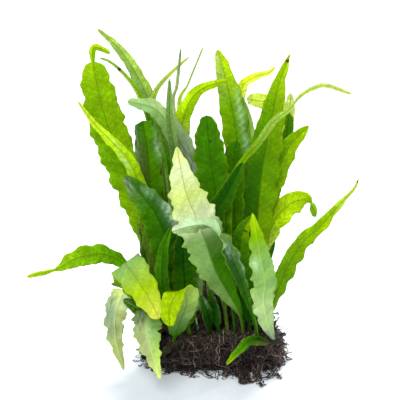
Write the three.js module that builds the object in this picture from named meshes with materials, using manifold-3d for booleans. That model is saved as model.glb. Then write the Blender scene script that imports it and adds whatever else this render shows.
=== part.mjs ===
// Java fern (Microsorum pteropus) with its root mat and no pot: 54 fronds grow from four rhizomes
// that lie half sunk in one tangled mat of roots. Millimetres, +Z up. The origin lies in the mat's
// flat underside, near its middle. -Y is the front and +X is to the right.
import * as THREE from "three";
import { mergeVertices } from "three/addons/utils/BufferGeometryUtils.js";
import Module from "manifold-3d";

const wasm = await Module();
wasm.setup();

// Driving dimensions of the mat.
const matLength = 98;
const matDepth = 58;
const matHeight = 25;
const matCornering = 0.7;
const leftEndShare = 0.88;
const undercutHeight = 8;
const undercutShare = 0.2;
const skinSegments = 36;
const skinLevels = [0, 0.1, 0.26, 0.5, 0.72, 0.86, 0.94, 0.985];

// Driving dimensions of the roots.
const creepingRoots = 22;
const creepingRootRadius = 1.05;
const footRoots = 14;
const footRootRadius = 0.8;
const tuftRoots = 9;
const tuftRootRadius = 0.8;

// Driving dimensions of rhizomes and fronds.
const rhizomeRadius = 3.5;
const rhizomeSwelling = 0.35;
const rhizomeSteps = 12;
const rhizomeSides = 6;
const stalkRadius = 1.2;
const stalkStep = 15;
const narrowestHalf = 0.6;
const rimThickness = 0.6;
const stalkRimThickness = 1.5;
const midribThickness = 1.1;
const scallopDepth = 0.07;
const cupping = 0.12;
const rootedLength = 9.5;
const sunkLength = 8;
const clearance = 0.35;

const yellowGreen = 0xa9c92e;
const freshGreen = 0x6fae22;
const deepGreen = 0x2f7a1d;
const silverGreen = 0xb9cf9a;
const rhizomeBrown = 0x5a5a2a;
const rootBrown = 0x2a1c12;

// Fronds. Each has a name, a colour, the places of its midrib from foot to tip, the directions
// across its blade from foot to tip, and its sizes: width of the blade in mm, stalk as a share of
// the length, number of waves along the rim and height of their ruffle in mm. Some also say where
// the blade is widest (belly), how blunt it is, how deep its rim is scalloped, and what share of
// its tip is a narrow tail, with the width of that tail in mm.
const fronds = [];

function frond(name, colour, path, across, sizes) {
  const usual = { belly: 0.45, blunt: 0.7, tail: 0, tailWidth: 0, scallop: scallopDepth };
  fronds.push({ name: `frond_${name}`, colour, path, across, ...usual, ...sizes });
}

const facing = [[1, 0, 0]];

// Fronds of the front rhizome, from left to right.
frond("front_01", yellowGreen,
  [[-25, -26, 20], [-20, -34, 40], [-15, -39, 55], [-17, -44, 66], [-22, -49, 64], [-26, -51, 56],
    [-26, -51, 44]],
  [[-0.9, 0, -0.4], [-0.6, 0.2, -0.8], [-0.9, 0, 0.2]],
  { width: 15, stalk: 0.12, waves: 6, ruffle: 0.9, blunt: 0.4 });
frond("front_02", freshGreen,
  [[-19, -24, 22], [-30, -35, 62], [-31, -40, 83], [-29, -42, 97], [-25, -43, 109]],
  facing, { width: 8, stalk: 0.15, waves: 5, ruffle: 0.4 });
frond("front_03", deepGreen,
  [[-13, -23, 22], [-16, -29, 54], [-17, -33, 80], [-18, -35, 106]],
  facing, { width: 15, stalk: 0.15, waves: 6, ruffle: 0.9, blunt: 0.5 });
frond("front_04", deepGreen,
  [[-7, -22, 23], [-14, -24, 59], [-25, -27, 88], [-36, -29, 115], [-55, -28, 139]],
  [[1, 0.12, 0.2]], { width: 24, stalk: 0.15, waves: 8, ruffle: 1.4, blunt: 0.6 });
frond("front_05", deepGreen,
  [[1, -22, 23], [-1, -30, 41], [-3, -34, 51], [-6, -37, 60]],
  [[1, 0.5, 0]], { width: 6, stalk: 0.3, waves: 3, ruffle: 0.4 });
frond("front_06", deepGreen,
  [[7, -23, 23], [5, -27, 38], [3, -26, 48], [0, -24, 59]],
  [[1, -0.5, 0]], { width: 6, stalk: 0.3, waves: 3, ruffle: 0.4 });
frond("front_07", deepGreen,
  [[13, -23, 23], [9, -25, 59], [6, -24, 94], [4, -20, 124], [0, -17, 153], [-2, -15, 176]],
  [[1, -0.25, 0]], { width: 21, stalk: 0.15, waves: 10, ruffle: 1.3, belly: 0.68, blunt: 0.45 });
frond("front_08", deepGreen,
  [[18, -21, 24], [15, -28, 50], [8, -30, 77], [3, -31, 98], [3, -31, 114], [12, -31, 130],
    [21, -31, 149]],
  [[1, 0.3, 0]], { width: 14, stalk: 0.3, waves: 5, ruffle: 0.8, belly: 0.5, blunt: 0.6 });
frond("front_09", silverGreen,
  [[24, -23, 23], [20, -31, 45], [11, -35, 63], [3, -39, 80], [-3, -43, 100], [-10, -45, 119],
    [-16, -45, 136], [-21, -42, 162]],
  [[-1, -0.2, 0]],
  { width: 26, stalk: 0.14, waves: 11, ruffle: 1.6, belly: 0.55, blunt: 0.9, scallop: 0.12 });
frond("front_10", freshGreen,
  [[28, -23, 22], [25, -21, 52], [21, -22, 71], [20, -22, 86], [22, -22, 100], [28, -21, 110]],
  facing, { width: 15, stalk: 0.15, waves: 6, ruffle: 1.0 });
frond("front_11", deepGreen,
  [[33, -23, 21], [30, -32, 40], [25, -37, 57], [18, -45, 80], [11, -53, 98], [4, -59, 111],
    [-3, -62, 117], [-13, -62, 116], [-24, -60, 112]],
  [[1, 0, 0.3], [1, 0.2, 0], [0.9, 0.5, 0], [0.2, 0.8, -0.5], [0.1, 0, -1]],
  { width: 13, stalk: 0.15, waves: 9, ruffle: 1.5, belly: 0.72, blunt: 0.6 });
frond("front_12", yellowGreen,
  [[42, -24, 19], [32, -35, 27], [25, -42, 29], [19, -47, 25], [11, -49, 16]],
  [[0, 0.5, 0.8]], { width: 5, stalk: 0.1, waves: 3, ruffle: 0.3 });
frond("front_13", silverGreen,
  [[46, -22, 18], [39, -33, 36], [35, -41, 58], [36, -44, 71], [34, -46, 82], [31, -47, 98],
    [27, -45, 119]],
  [[-1, -0.3, 0]],
  { width: 15, stalk: 0.08, waves: 8, ruffle: 1.2, belly: 0.52, blunt: 0.9, scallop: 0.1 });

// Two short fronds that stand in the mat's left end.
frond("left_01", deepGreen,
  [[-42, -15, 13], [-45, -18, 33], [-48, -20, 43], [-53, -22, 48], [-58, -24, 52]],
  [[0.3, 0.6, 0.7]], { width: 10, stalk: 0.2, waves: 3, ruffle: 0.6 });
frond("left_02", deepGreen,
  [[-42, 0, 15], [-50, -2, 49], [-58, -6, 55], [-67, -8, 57]],
  [[0.2, 0.6, 0.7]], { width: 6, stalk: 0.2, waves: 2, ruffle: 0.5 });

// Fronds of the middle rhizome, from left to right.
frond("middle_01", silverGreen,
  [[-40, -6, 19], [-54, -9, 52], [-62, -22, 46], [-63, -33, 30], [-57, -42, 9]],
  [[1, 0, 0], [0.9, 0.3, 0]],
  { width: 14, stalk: 0.22, waves: 7, ruffle: 1.3, belly: 0.36, blunt: 0.9, scallop: 0.12 });
frond("middle_02", silverGreen,
  [[-37, -8, 20], [-39, -22, 44], [-41, -36, 44], [-40, -50, 34], [-32, -67, 14]],
  facing, { width: 17, stalk: 0.25, waves: 6, ruffle: 1.1, belly: 0.36, blunt: 0.95, scallop: 0.12 });
frond("middle_03", yellowGreen,
  [[-33, -5, 22], [-48, -19, 57], [-56, -28, 79], [-49, -40, 75], [-39, -47, 61], [-33, -51, 49]],
  [[0.8, 0, 0.6], [0.6, 0, 0.75], [0.8, 0, -0.5]],
  { width: 21, stalk: 0.25, waves: 6, ruffle: 0.6, belly: 0.5, blunt: 0.5 });
frond("middle_04", freshGreen,
  [[-28, -5, 23], [-41, -2, 50], [-58, 0, 68], [-72, -2, 76], [-85, -6, 76], [-94, -8, 73],
    [-104, -10, 68], [-123, -13, 64]],
  [[0.2, 0.6, 0.7]],
  { width: 13, stalk: 0.25, waves: 8, ruffle: 0.9, belly: 0.68, blunt: 0.85, tail: 0.2, tailWidth: 2.4 });
frond("middle_05", yellowGreen,
  [[-23, -5, 23], [-35, -12, 54], [-40, -14, 91], [-45, -14, 122], [-52, -12, 143], [-64, -9, 157],
    [-75, -7, 168], [-86, -5, 183]],
  [[1, 0, 0], [0.8, 0, 0.5]], { width: 9, stalk: 0.2, waves: 9, ruffle: 0.9, blunt: 1 });
frond("middle_06", freshGreen,
  [[-18, -5, 23], [-32, -20, 57], [-36, -24, 79], [-39, -25, 93], [-42, -24, 105]],
  [[1, -0.4, 0]], { width: 8, stalk: 0.2, waves: 5, ruffle: 0.5 });
frond("middle_07", deepGreen,
  [[-8, -4, 23], [-35, -4, 55], [-39, -4, 87], [-40, -4, 122], [-41, -4, 149], [-44, -5, 170]],
  [[1, 0.3, 0]], { width: 17, stalk: 0.2, waves: 7, ruffle: 1.1, belly: 0.6, blunt: 0.2 });
frond("middle_08", freshGreen,
  [[-3, -3, 24], [-25, -6, 81], [-28, -9, 117], [-31, -9, 144]],
  [[1, 0.5, 0]], { width: 4, stalk: 0.3, waves: 4, ruffle: 0.3 });
frond("middle_09", silverGreen,
  [[2, -3, 24], [-3, 8, 76], [-7, 8, 112], [-15, 5, 143], [-26, 4, 164], [-37, 2, 177], [-54, 0, 182]],
  [[-1, 0, 0], [-0.6, 0, -0.7], [-0.2, 0, -1]],
  { width: 14, stalk: 0.3, waves: 8, ruffle: 0.8, blunt: 0.45 });
frond("middle_10", deepGreen,
  [[7, -3, 24], [8, 1, 71], [8, 2, 114], [11, 1, 134], [15, 0, 153]],
  [[1, -0.5, 0]], { width: 11, stalk: 0.3, waves: 5, ruffle: 0.6, blunt: 0.55, belly: 0.6 });
frond("middle_11", deepGreen,
  [[12, -2, 24], [10, -5, 60], [8, -9, 95], [6, -12, 122], [6, -11, 148]],
  [[1, 0.3, 0]], { width: 11, stalk: 0.2, waves: 6, ruffle: 1.0 });
frond("middle_12", freshGreen,
  [[17, -2, 24], [14, -8, 59], [14, -13, 105], [15, -14, 133], [24, -13, 148], [32, -12, 157],
    [41, -10, 170], [52, -9, 179], [59, -7, 187], [68, -5, 192], [77, -4, 193], [93, -2, 187]],
  [[1, 0, 0], [0.7, 0, -0.7], [0, 0, -1]],
  { width: 4, stalk: 0.2, waves: 9, ruffle: 0.5, belly: 0.8, blunt: 1.1, tail: 0.25, tailWidth: 2 });
frond("middle_13", deepGreen,
  [[22, -1, 24], [19, -4, 73], [17, -6, 106], [16, -8, 130], [16, -8, 149], [18, -9, 158]],
  facing, { width: 13, stalk: 0.3, waves: 5, ruffle: 0.6, blunt: 0.5, belly: 0.68 });
frond("middle_14", deepGreen,
  [[27, -1, 24], [32, 0, 49], [32, 1, 89], [34, 2, 124], [37, 3, 148], [41, 4, 170], [45, 4, 191],
    [52, 1, 213]],
  [[1, 0.25, 0]], { width: 23, stalk: 0.15, waves: 9, ruffle: 1.5, blunt: 1 });
frond("middle_15", yellowGreen,
  [[32, 0, 22], [35, 8, 50], [34, 15, 67], [39, 15, 81], [43, 15, 92], [49, 14, 101], [56, 13, 108],
    [63, 12, 111], [69, 11, 109], [73, 10, 99]],
  [[1, 0, 0], [0.7, 0, -0.7], [0.5, 0.3, -0.8]],
  { width: 16, stalk: 0.25, waves: 6, ruffle: 0.8, belly: 0.66, blunt: 0.55 });
frond("middle_16", freshGreen,
  [[37, 1, 21], [38, 7, 61], [38, 9, 90], [41, 9, 115], [48, 9, 137], [55, 9, 151], [66, 6, 164]],
  [[1, 0, 0], [0.8, 0, -0.5]], { width: 13, stalk: 0.2, waves: 7, ruffle: 0.9, belly: 0.68 });
frond("middle_17", yellowGreen,
  [[41, 1, 19], [42, -8, 36], [46, -14, 55], [54, -17, 77], [63, -17, 92], [72, -15, 99],
    [85, -11, 113], [96, -7, 124], [99, -6, 131]],
  [[1, 0.3, 0]], { width: 12, stalk: 0.12, waves: 8, ruffle: 1.1, belly: 0.4, blunt: 1.5 });

// Fronds of the inner rhizome, from left to right.
frond("inner_01", freshGreen,
  [[-25, 13, 20], [-31, 22, 93], [-40, 24, 157], [-47, 22, 181], [-56, 19, 195], [-66, 17, 205],
    [-74, 16, 208]],
  [[1, 0, 0.4]], { width: 2.5, stalk: 0.4, waves: 3, ruffle: 0.2 });
frond("inner_02", yellowGreen,
  [[-20, 13, 22], [-30, 8, 46], [-39, 8, 79], [-50, 7, 114], [-62, 6, 147], [-70, 4, 174],
    [-74, 2, 194], [-76, 0, 211], [-74, -1, 218], [-64, -2, 214]],
  [[1, 0, 0], [1, 0, 0], [1, 0, 0], [1, 0, 0], [1, 0, 0], [1, 0, 0], [1, 0, 0], [1, 0, 0], [0.2, 0.2, -1]],
  { width: 23, stalk: 0.2, waves: 10, ruffle: 1.3, belly: 0.66, blunt: 0.25, tail: 0.13, tailWidth: 3.5 });
frond("inner_03", freshGreen,
  [[-15, 13, 22], [-31, 28, 91], [-40, 32, 148], [-38, 32, 177], [-30, 30, 191], [-13, 27, 207]],
  [[1, 0, 0], [0.8, 0, -0.5]], { width: 3, stalk: 0.4, waves: 3, ruffle: 0.3 });
frond("inner_04", freshGreen,
  [[-10, 14, 23], [-20, 34, 82], [-32, 38, 139], [-43, 38, 178], [-58, 34, 207], [-75, 30, 225]],
  [[1, 0, 0], [0.8, 0, 0.5]], { width: 10, stalk: 0.3, waves: 7, ruffle: 0.7 });
frond("inner_05", deepGreen,
  [[-5, 14, 24], [-24, 12, 60], [-29, 6, 98], [-32, 3, 127], [-35, 2, 154], [-38, 0, 171]],
  [[1, -0.35, 0]], { width: 11, stalk: 0.3, waves: 6, ruffle: 0.6, belly: 0.55 });
frond("inner_06", deepGreen,
  [[0, 14, 23], [-20, 16, 80], [-22, 1, 135], [-26, -7, 172], [-26, -9, 199]],
  [[1, 0.5, 0]], { width: 6, stalk: 0.4, waves: 4, ruffle: 0.4 });
frond("inner_07", deepGreen,
  [[5, 15, 24], [-13, 26, 106], [-24, 28, 170], [-22, 27, 187], [-19, 26, 213]],
  [[1, 0.6, 0]], { width: 2, stalk: 0.4, waves: 3, ruffle: 0.2 });
frond("inner_08", yellowGreen,
  [[10, 14, 23], [-10, 14, 103], [-19, 11, 149], [-16, 7, 174], [-6, 4, 189], [12, 0, 196]],
  [[1, 0, 0], [0.7, 0, -0.7]], { width: 11, stalk: 0.35, waves: 6, ruffle: 0.8 });
frond("inner_09", freshGreen,
  [[14, 14, 24], [-6, 22, 107], [-20, 22, 170], [-14, 20, 190], [-4, 18, 215]],
  [[1, -0.6, 0]], { width: 4, stalk: 0.4, waves: 3, ruffle: 0.3, tail: 0.25 });
frond("inner_10", freshGreen,
  [[19, 14, 23], [21, 12, 82], [22, 11, 121], [18, 10, 157], [12, 9, 189], [5, 7, 215]],
  [[1, 0.25, 0]], { width: 18, stalk: 0.2, waves: 8, ruffle: 1.2, belly: 0.55, blunt: 0.6 });
frond("inner_11", silverGreen,
  [[24, 14, 22], [28, 18, 87], [28, 17, 134], [27, 16, 160], [22, 14, 182]],
  [[1, -0.3, 0]], { width: 9, stalk: 0.3, waves: 5, ruffle: 0.6 });
frond("inner_12", yellowGreen,
  [[28, 14, 21], [29, 26, 92], [17, 26, 156], [22, 24, 185], [26, 23, 191], [33, 22, 195],
    [40, 21, 197], [44, 20, 201]],
  [[1, 0, 0], [0.7, 0, -0.7], [0.5, 0, -0.9]], { width: 8, stalk: 0.4, waves: 5, ruffle: 0.5 });
frond("inner_13", yellowGreen,
  [[32, 14, 20], [37, 22, 93], [44, 17, 144], [46, 17, 168], [45, 17, 177], [38, 17, 178],
    [31, 17, 179], [25, 17, 180]],
  [[1, 0.4, 0], [1, 0.3, 0], [1, 0.2, 0], [1, 0, 0.3], [0.4, 0, 0.9], [0, 0, 1]],
  { width: 10, stalk: 0.3, waves: 9, ruffle: 0.6, belly: 0.85, blunt: 0.35 });

// Fronds of the back rhizome, from left to right. The first seven lean back.
frond("back_01", freshGreen,
  [[-28, 24, 14], [-31, 36, 35], [-37, 52, 68], [-41, 70, 97], [-46, 86, 111]],
  [[-1, 0.3, 0.4]], { width: 20, stalk: 0.2, waves: 6, ruffle: 1.3 });
frond("back_02", deepGreen,
  [[-20, 24, 15], [-21, 35, 36], [-23, 50, 84], [-24, 60, 126], [-26, 66, 152]],
  [[-1, -0.4, 0]], { width: 18, stalk: 0.1, waves: 6, ruffle: 1.2, belly: 0.36 });
frond("back_03", freshGreen,
  [[-11, 25, 17], [-11, 40, 34], [-9, 58, 66], [-8, 78, 90], [-8, 98, 96]],
  [[-1, 0, -0.3]], { width: 21, stalk: 0.2, waves: 6, ruffle: 1.4 });
frond("back_04", deepGreen,
  [[-2, 25, 17], [-2, 36, 43], [1, 46, 85], [2, 54, 124], [2, 56, 149]],
  [[-1, 0.4, 0]], { width: 17, stalk: 0.1, waves: 6, ruffle: 1.2, belly: 0.36 });
frond("back_05", yellowGreen,
  [[7, 25, 17], [9, 40, 34], [15, 60, 69], [20, 76, 95], [25, 90, 106]],
  [[-1, 0, 0.3]], { width: 19, stalk: 0.2, waves: 6, ruffle: 1.3 });
frond("back_06", deepGreen,
  [[15, 25, 16], [17, 38, 42], [22, 50, 95], [27, 56, 127], [31, 58, 145]],
  [[-1, 0, 0]], { width: 15, stalk: 0.16, waves: 5, ruffle: 1.0, belly: 0.4 });
frond("back_07", freshGreen,
  [[23, 24, 15], [29, 36, 35], [36, 50, 65], [42, 62, 86], [48, 72, 94]],
  [[-1, -0.3, -0.4]], { width: 18, stalk: 0.2, waves: 5, ruffle: 1.2 });
frond("back_08", freshGreen,
  [[30, 24, 15], [39, 32, 79], [49, 32, 126], [54, 29, 159], [55, 27, 182]],
  [[1, 0.5, 0]], { width: 8, stalk: 0.3, waves: 5, ruffle: 0.5, belly: 0.65, blunt: 0.35 });
frond("back_09", deepGreen,
  [[34, 25, 13], [42, 27, 68], [44, 26, 110], [51, 24, 143], [54, 21, 169]],
  [[1, 0.2, 0]], { width: 9, stalk: 0.3, waves: 5, ruffle: 0.4, blunt: 0.25, belly: 0.6 });

// Rhizomes, each a creeping stem given by places along its middle.
const rhizomes = {
  rhizome_front: [[-31, -31, 16], [-22, -25, 21], [-4, -22, 23], [18, -23, 23], [34, -23, 21], [47, -22, 17]],
  rhizome_middle: [[-43, -7, 19], [-24, -5, 23], [0, -3, 24], [22, -1, 24], [43, 1, 19]],
  rhizome_inner: [[-36, 14, 19], [-14, 14, 23], [10, 14, 24], [34, 14, 20]],
  rhizome_back: [[-30, 25, 14], [-12, 24, 18], [10, 24, 18], [36, 25, 13]],
};

function curveThrough(points) {
  const places = points.map((point) => new THREE.Vector3(...point));
  return new THREE.CatmullRomCurve3(places, false, "catmullrom", 0.5);
}

// Joins rings of corners into one closed skin. Each side of the section is a pair of corners, with
// the way its quads are split, and the triangles of the cap close both ends.
function loft(rings, sides, cap) {
  const corners = [];
  for (let i = 0; i + 1 < rings.length; i++) {
    for (const [from, to, splitOther] of sides) {
      const near = rings[i][from];
      const nearNext = rings[i][to];
      const far = rings[i + 1][from];
      const farNext = rings[i + 1][to];
      if (splitOther) corners.push(near, nearNext, far, nearNext, farNext, far);
      else corners.push(near, nearNext, farNext, near, farNext, far);
    }
  }
  const first = rings[0];
  const last = rings[rings.length - 1];
  for (const [a, b, c] of cap) corners.push(first[c], first[b], first[a], last[a], last[b], last[c]);
  return new THREE.BufferGeometry().setFromPoints(corners);
}

// Sides and cap of a plain section with a given number of corners.
function plainSides(count) {
  return Array.from({ length: count }, (_, i) => [i, (i + 1) % count, false]);
}

function plainCap(count) {
  return Array.from({ length: count - 2 }, (_, i) => [0, i + 1, i + 2]);
}

// A blade's section has left rim, midrib and right rim above, then the same three below from
// right to left. Upper and lower quads are split alike, so the blade keeps its thickness.
const bladeSides = [
  [0, 1, false],
  [1, 2, true],
  [2, 3, false],
  [3, 4, true],
  [4, 5, false],
  [5, 0, false],
];
const bladeCap = [
  [0, 1, 4],
  [0, 4, 5],
  [1, 2, 3],
  [1, 3, 4],
];

// Shares of the length at which a frond has a ring: a few along the stalk, then one at each crest
// and hollow of the blade's waves.
function frondStops(shape, length) {
  const rooted = Math.min(rootedLength / length, shape.stalk * 0.7);
  const stalkSteps = Math.max(1, Math.round(((shape.stalk - rooted) * length) / stalkStep));
  const bladeSteps = 2 * shape.waves;
  const stops = [0];
  for (let i = 0; i < stalkSteps; i++) stops.push(rooted + ((shape.stalk - rooted) * i) / stalkSteps);
  for (let i = 0; i <= bladeSteps; i++) stops.push(shape.stalk + ((1 - shape.stalk) * i) / bladeSteps);
  return stops;
}

// The direction across the blade at a share of the length, square to the midrib.
function bladeSide(across, share, along) {
  const place = share * (across.length - 1);
  const before = Math.min(Math.floor(place), Math.max(0, across.length - 2));
  const after = Math.min(before + 1, across.length - 1);
  const side = new THREE.Vector3(...across[before]).normalize();
  side.lerp(new THREE.Vector3(...across[after]).normalize(), place - before);
  return side.addScaledVector(along, -side.dot(along)).normalize();
}

// Rings of a frond, from foot to tip, grown outwards by a margin where the margin isn't 0.
function frondRings(shape, margin) {
  const curve = curveThrough(shape.path);
  const bellyPower = Math.log(0.5) / Math.log(shape.belly);
  return frondStops(shape, curve.getLength()).map((stop) => {
    const share = Math.min(1, stop);
    const centre = curve.getPointAt(share);
    const along = curve.getTangentAt(share).normalize();
    const side = bladeSide(shape.across, share, along);
    const up = new THREE.Vector3().crossVectors(side, along);
    const bladeShare = Math.max(0, (share - shape.stalk) / (1 - shape.stalk));
    const bodyShare = Math.min(1, bladeShare / (1 - shape.tail));
    const arch = Math.max(0, Math.sin(Math.PI * Math.pow(bodyShare, bellyPower)));
    const fullness = Math.pow(arch, shape.blunt);
    const tailShare = shape.tail > 0 ? Math.max(0, 1 - (1 - bladeShare) / shape.tail) : 0;
    const tailFullness = Math.sqrt(Math.sin(Math.PI * tailShare));
    const wave = Math.cos(2 * Math.PI * shape.waves * bladeShare);
    const core = Math.max(stalkRadius * (1 - bladeShare), narrowestHalf);
    const half = core + (shape.width / 2) * fullness + (shape.tailWidth / 2) * tailFullness;
    const scallop = bladeShare > 0 ? shape.scallop * wave : 0;
    const left = half * (1 + scallop) + margin;
    const right = half * (1 - scallop) + margin;
    const lift = cupping * half * fullness;
    const ruffle = shape.ruffle * Math.sqrt(fullness) * wave;
    const stalkness = 1 - Math.min(1, 4 * bladeShare);
    const rim = (rimThickness + (stalkRimThickness - rimThickness) * stalkness) / 2 + margin;
    const rib = 0.9 * (stalkRadius * (1 - bladeShare) + (midribThickness / 2) * bladeShare) + margin;
    const corner = (a, b) => centre.clone().addScaledVector(side, a).addScaledVector(up, b);
    return [
      corner(-left, lift + ruffle + rim),
      corner(0, rib),
      corner(right, lift - ruffle + rim),
      corner(right, lift - ruffle - rim),
      corner(0, -rib),
      corner(-left, lift + ruffle - rim),
    ];
  });
}

function frondGeometry(shape) {
  return loft(frondRings(shape, 0), bladeSides, bladeCap);
}

// The plain four-sided hole that a stalk's foot stands in, wider than the stalk by the clearance.
function stalkHole(shape) {
  const rings = frondRings(shape, clearance).map(([leftTop, ribTop, rightTop, rightLow, ribLow, leftLow]) => {
    const rise = ribTop.clone().sub(leftTop.clone().lerp(rightTop, 0.5));
    const fall = ribLow.clone().sub(leftLow.clone().lerp(rightLow, 0.5));
    return [
      leftTop.clone().add(rise),
      rightTop.clone().add(rise),
      rightLow.clone().add(fall),
      leftLow.clone().add(fall),
    ];
  });
  const [foot, next] = rings;
  const back = foot[0].clone().sub(next[0]).normalize();
  const deepest = foot.map((corner) => corner.clone().addScaledVector(back, clearance));
  const last = rings.findIndex((ring) => ring[0].distanceTo(foot[0]) >= sunkLength);
  return loft([deepest, ...rings.slice(1, last + 1)], plainSides(4), plainCap(4));
}

// A strand along places, with a radius for each share of its length.
function strand(places, sides, radiusAt) {
  let side = new THREE.Vector3(0.3, 0.2, 1);
  const last = places.length - 1;
  const rings = places.map((place, i) => {
    const along = places[Math.min(last, i + 1)].clone().sub(places[Math.max(0, i - 1)]).normalize();
    side = side.clone().addScaledVector(along, -side.dot(along)).normalize();
    const other = new THREE.Vector3().crossVectors(along, side);
    return Array.from({ length: sides }, (_, k) => {
      const turn = (2 * Math.PI * k) / sides;
      const radius = radiusAt(i / last);
      return place
        .clone()
        .addScaledVector(side, radius * Math.cos(turn))
        .addScaledVector(other, radius * Math.sin(turn));
    });
  });
  return loft(rings, plainSides(sides), plainCap(sides));
}

// A rhizome with swollen nodes along it and rounded ends, wider and longer by a margin.
function rhizomeGeometry(points, margin) {
  const curve = curveThrough(points);
  const places = curve.getSpacedPoints(rhizomeSteps);
  const lengthen = (end, next) => end.add(end.clone().sub(next).setLength(margin));
  if (margin > 0) {
    lengthen(places[0], places[1]);
    lengthen(places[rhizomeSteps], places[rhizomeSteps - 1]);
  }
  return strand(places, rhizomeSides, (share) => {
    const rounding = Math.sqrt(Math.max(0.02, 1 - Math.pow(2 * share - 1, 8)));
    const swelling = rhizomeSwelling * Math.cos(2 * Math.PI * (rhizomeSteps / 2) * share);
    return (rhizomeRadius + swelling) * rounding + margin;
  });
}

// The place on the mat's skin at a turn around it and a level from 0, the ground, to 1, the top: a
// rounded cushion with lumps, drawn in near the ground and shorter on its left.
function matSkin(turn, level) {
  const cornered = (value) => Math.sign(value) * Math.pow(Math.abs(value), matCornering);
  const bulge = Math.pow(1 - Math.pow(level, 10 / 3), 0.25);
  const z = matHeight * level;
  const raised = Math.min(1, z / undercutHeight);
  const drawn = bulge * (1 - undercutShare * Math.pow(1 - raised, 2));
  const end = Math.cos(turn) < 0 ? leftEndShare : 1;
  const x = (matLength / 2) * end * cornered(Math.cos(turn)) * drawn;
  const y = (matDepth / 2) * cornered(Math.sin(turn)) * drawn;
  const lump =
    Math.sin(0.16 * x + 0.21 * y + 0.5) +
    Math.sin(0.27 * x - 0.19 * y + 0.3 * z + 2) +
    0.7 * Math.sin(0.41 * x + 0.5 * y + 0.3 * z);
  return new THREE.Vector3(x * (1 + 0.018 * lump), y * (1 + 0.018 * lump), z * (1 + 0.02 * lump));
}

// The packed inside of the mat, which the roots stand out of.
function matCore() {
  const rings = skinLevels.map((level) =>
    Array.from({ length: skinSegments }, (_, i) => matSkin((2 * Math.PI * (i + 0.5)) / skinSegments, level)),
  );
  const middle = (ring) =>
    ring.reduce((sum, corner) => sum.add(corner), new THREE.Vector3()).divideScalar(skinSegments);
  const bottom = rings[0];
  const top = rings[rings.length - 1];
  const bottomMiddle = middle(bottom);
  const topMiddle = middle(top);
  const corners = [];
  for (let i = 0; i < skinSegments; i++) {
    const next = (i + 1) % skinSegments;
    corners.push(bottomMiddle, bottom[next], bottom[i], topMiddle, top[i], top[next]);
    for (let j = 0; j + 1 < rings.length; j++) {
      const low = rings[j];
      const high = rings[j + 1];
      corners.push(low[i], low[next], high[next], low[i], high[next], high[i]);
    }
  }
  return new THREE.BufferGeometry().setFromPoints(corners);
}

// A seeded generator of numbers from 0 to 1, so that the roots fall the same way every time.
function seeded(seed) {
  let state = seed;
  return () => {
    state = (state * 1664525 + 1013904223) % 4294967296;
    return state / 4294967296;
  };
}

function rootStrand(places, steps, radius) {
  const curve = new THREE.CatmullRomCurve3(places, false, "catmullrom", 0.5);
  return strand(curve.getSpacedPoints(steps), 3, () => radius);
}

// Roots that creep over the mat: each leaves the core, arches along it and goes back in.
function creepingRoot(turn, between) {
  const steps = [-0.1, 0.2, 0.5, 0.8, 1.1];
  const standing = [0.86, 1.05, 1.09, 1.05, 0.86];
  const level = between(0.2, 0.78);
  const climb = between(-0.22, 0.2);
  const sweep = between(0.25, 0.6) * (between(0, 1) < 0.5 ? -1 : 1);
  const places = steps.map((step, k) => {
    const skin = matSkin(turn + sweep * step, Math.max(0.16, Math.min(0.96, level + climb * step)));
    const out = standing[k] + between(-0.01, 0.02);
    return new THREE.Vector3(skin.x * out, skin.y * out, Math.max(0.9, skin.z * out));
  });
  return rootStrand(places, 6, creepingRootRadius * between(0.88, 1.12));
}

// Roots that leave the mat near its foot and curl along the surface it rests on.
function footRoot(turn, between) {
  const start = matSkin(turn, between(0.2, 0.45));
  const away = new THREE.Vector3(start.x, start.y, 0).normalize();
  const aside = new THREE.Vector3(-away.y, away.x, 0);
  const reach = between(3, 7);
  const curl = reach * between(1, 2) * (between(0, 1) < 0.5 ? -1 : 1);
  const beside = (out, along, height) =>
    start.clone().addScaledVector(away, reach * out).addScaledVector(aside, curl * along).setZ(height);
  const places = [
    start.clone().multiplyScalar(0.82),
    start.clone(),
    beside(0.4, 0.25, start.z * 0.4 + 0.6),
    beside(0.8, 0.7, 0.8),
    beside(0.6, 1.2, 0.6),
  ];
  return rootStrand(places, 5, footRootRadius * between(0.9, 1.1));
}

// Roots of the tuft that sprawls forward at the right. Every third one loops back to the mat.
function tuftRoot(number, between) {
  const x = 15 + 3.1 * number;
  const reach = between(13, 21) * (number > 5 ? 0.5 : 1);
  const bend = between(-8, 8);
  const height = between(5, 12);
  const front = -29;
  const places = [
    new THREE.Vector3(x, -24, height),
    new THREE.Vector3(x + bend * 0.1, front - 1, height * 0.7),
    new THREE.Vector3(x + bend * 0.5, front - reach * 0.45, 2.2),
    new THREE.Vector3(x + bend * 0.9, front - reach * 0.85, 1.4),
  ];
  if (number % 3 === 1) {
    places.push(new THREE.Vector3(x + bend * 0.5 + 6, front - reach * 0.8, 0.8));
    places.push(new THREE.Vector3(x + bend * 0.2 + 7, front - reach * 0.2, 0.8));
  } else {
    places.push(new THREE.Vector3(x + bend * 1.2, front - reach, 0.7));
  }
  return rootStrand(places, 8, tuftRootRadius);
}

function allRoots() {
  const random = seeded(7);
  const between = (low, high) => low + (high - low) * random();
  const around = (number, count) => (2 * Math.PI * (number + 0.9 * random())) / count;
  const roots = [];
  for (let n = 0; n < creepingRoots; n++) roots.push(creepingRoot(around(n, creepingRoots), between));
  for (let n = 0; n < footRoots; n++) roots.push(footRoot(around(n, footRoots), between));
  for (let n = 0; n < tuftRoots; n++) roots.push(tuftRoot(n, between));
  return roots;
}

function solid(geometry) {
  geometry.deleteAttribute("normal");
  geometry.deleteAttribute("uv");
  const merged = mergeVertices(geometry, 1e-3);
  return new wasm.Manifold(
    new wasm.Mesh({
      numProp: 3,
      vertProperties: merged.attributes.position.array,
      triVerts: new Uint32Array(merged.index.array),
    }),
  );
}

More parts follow.
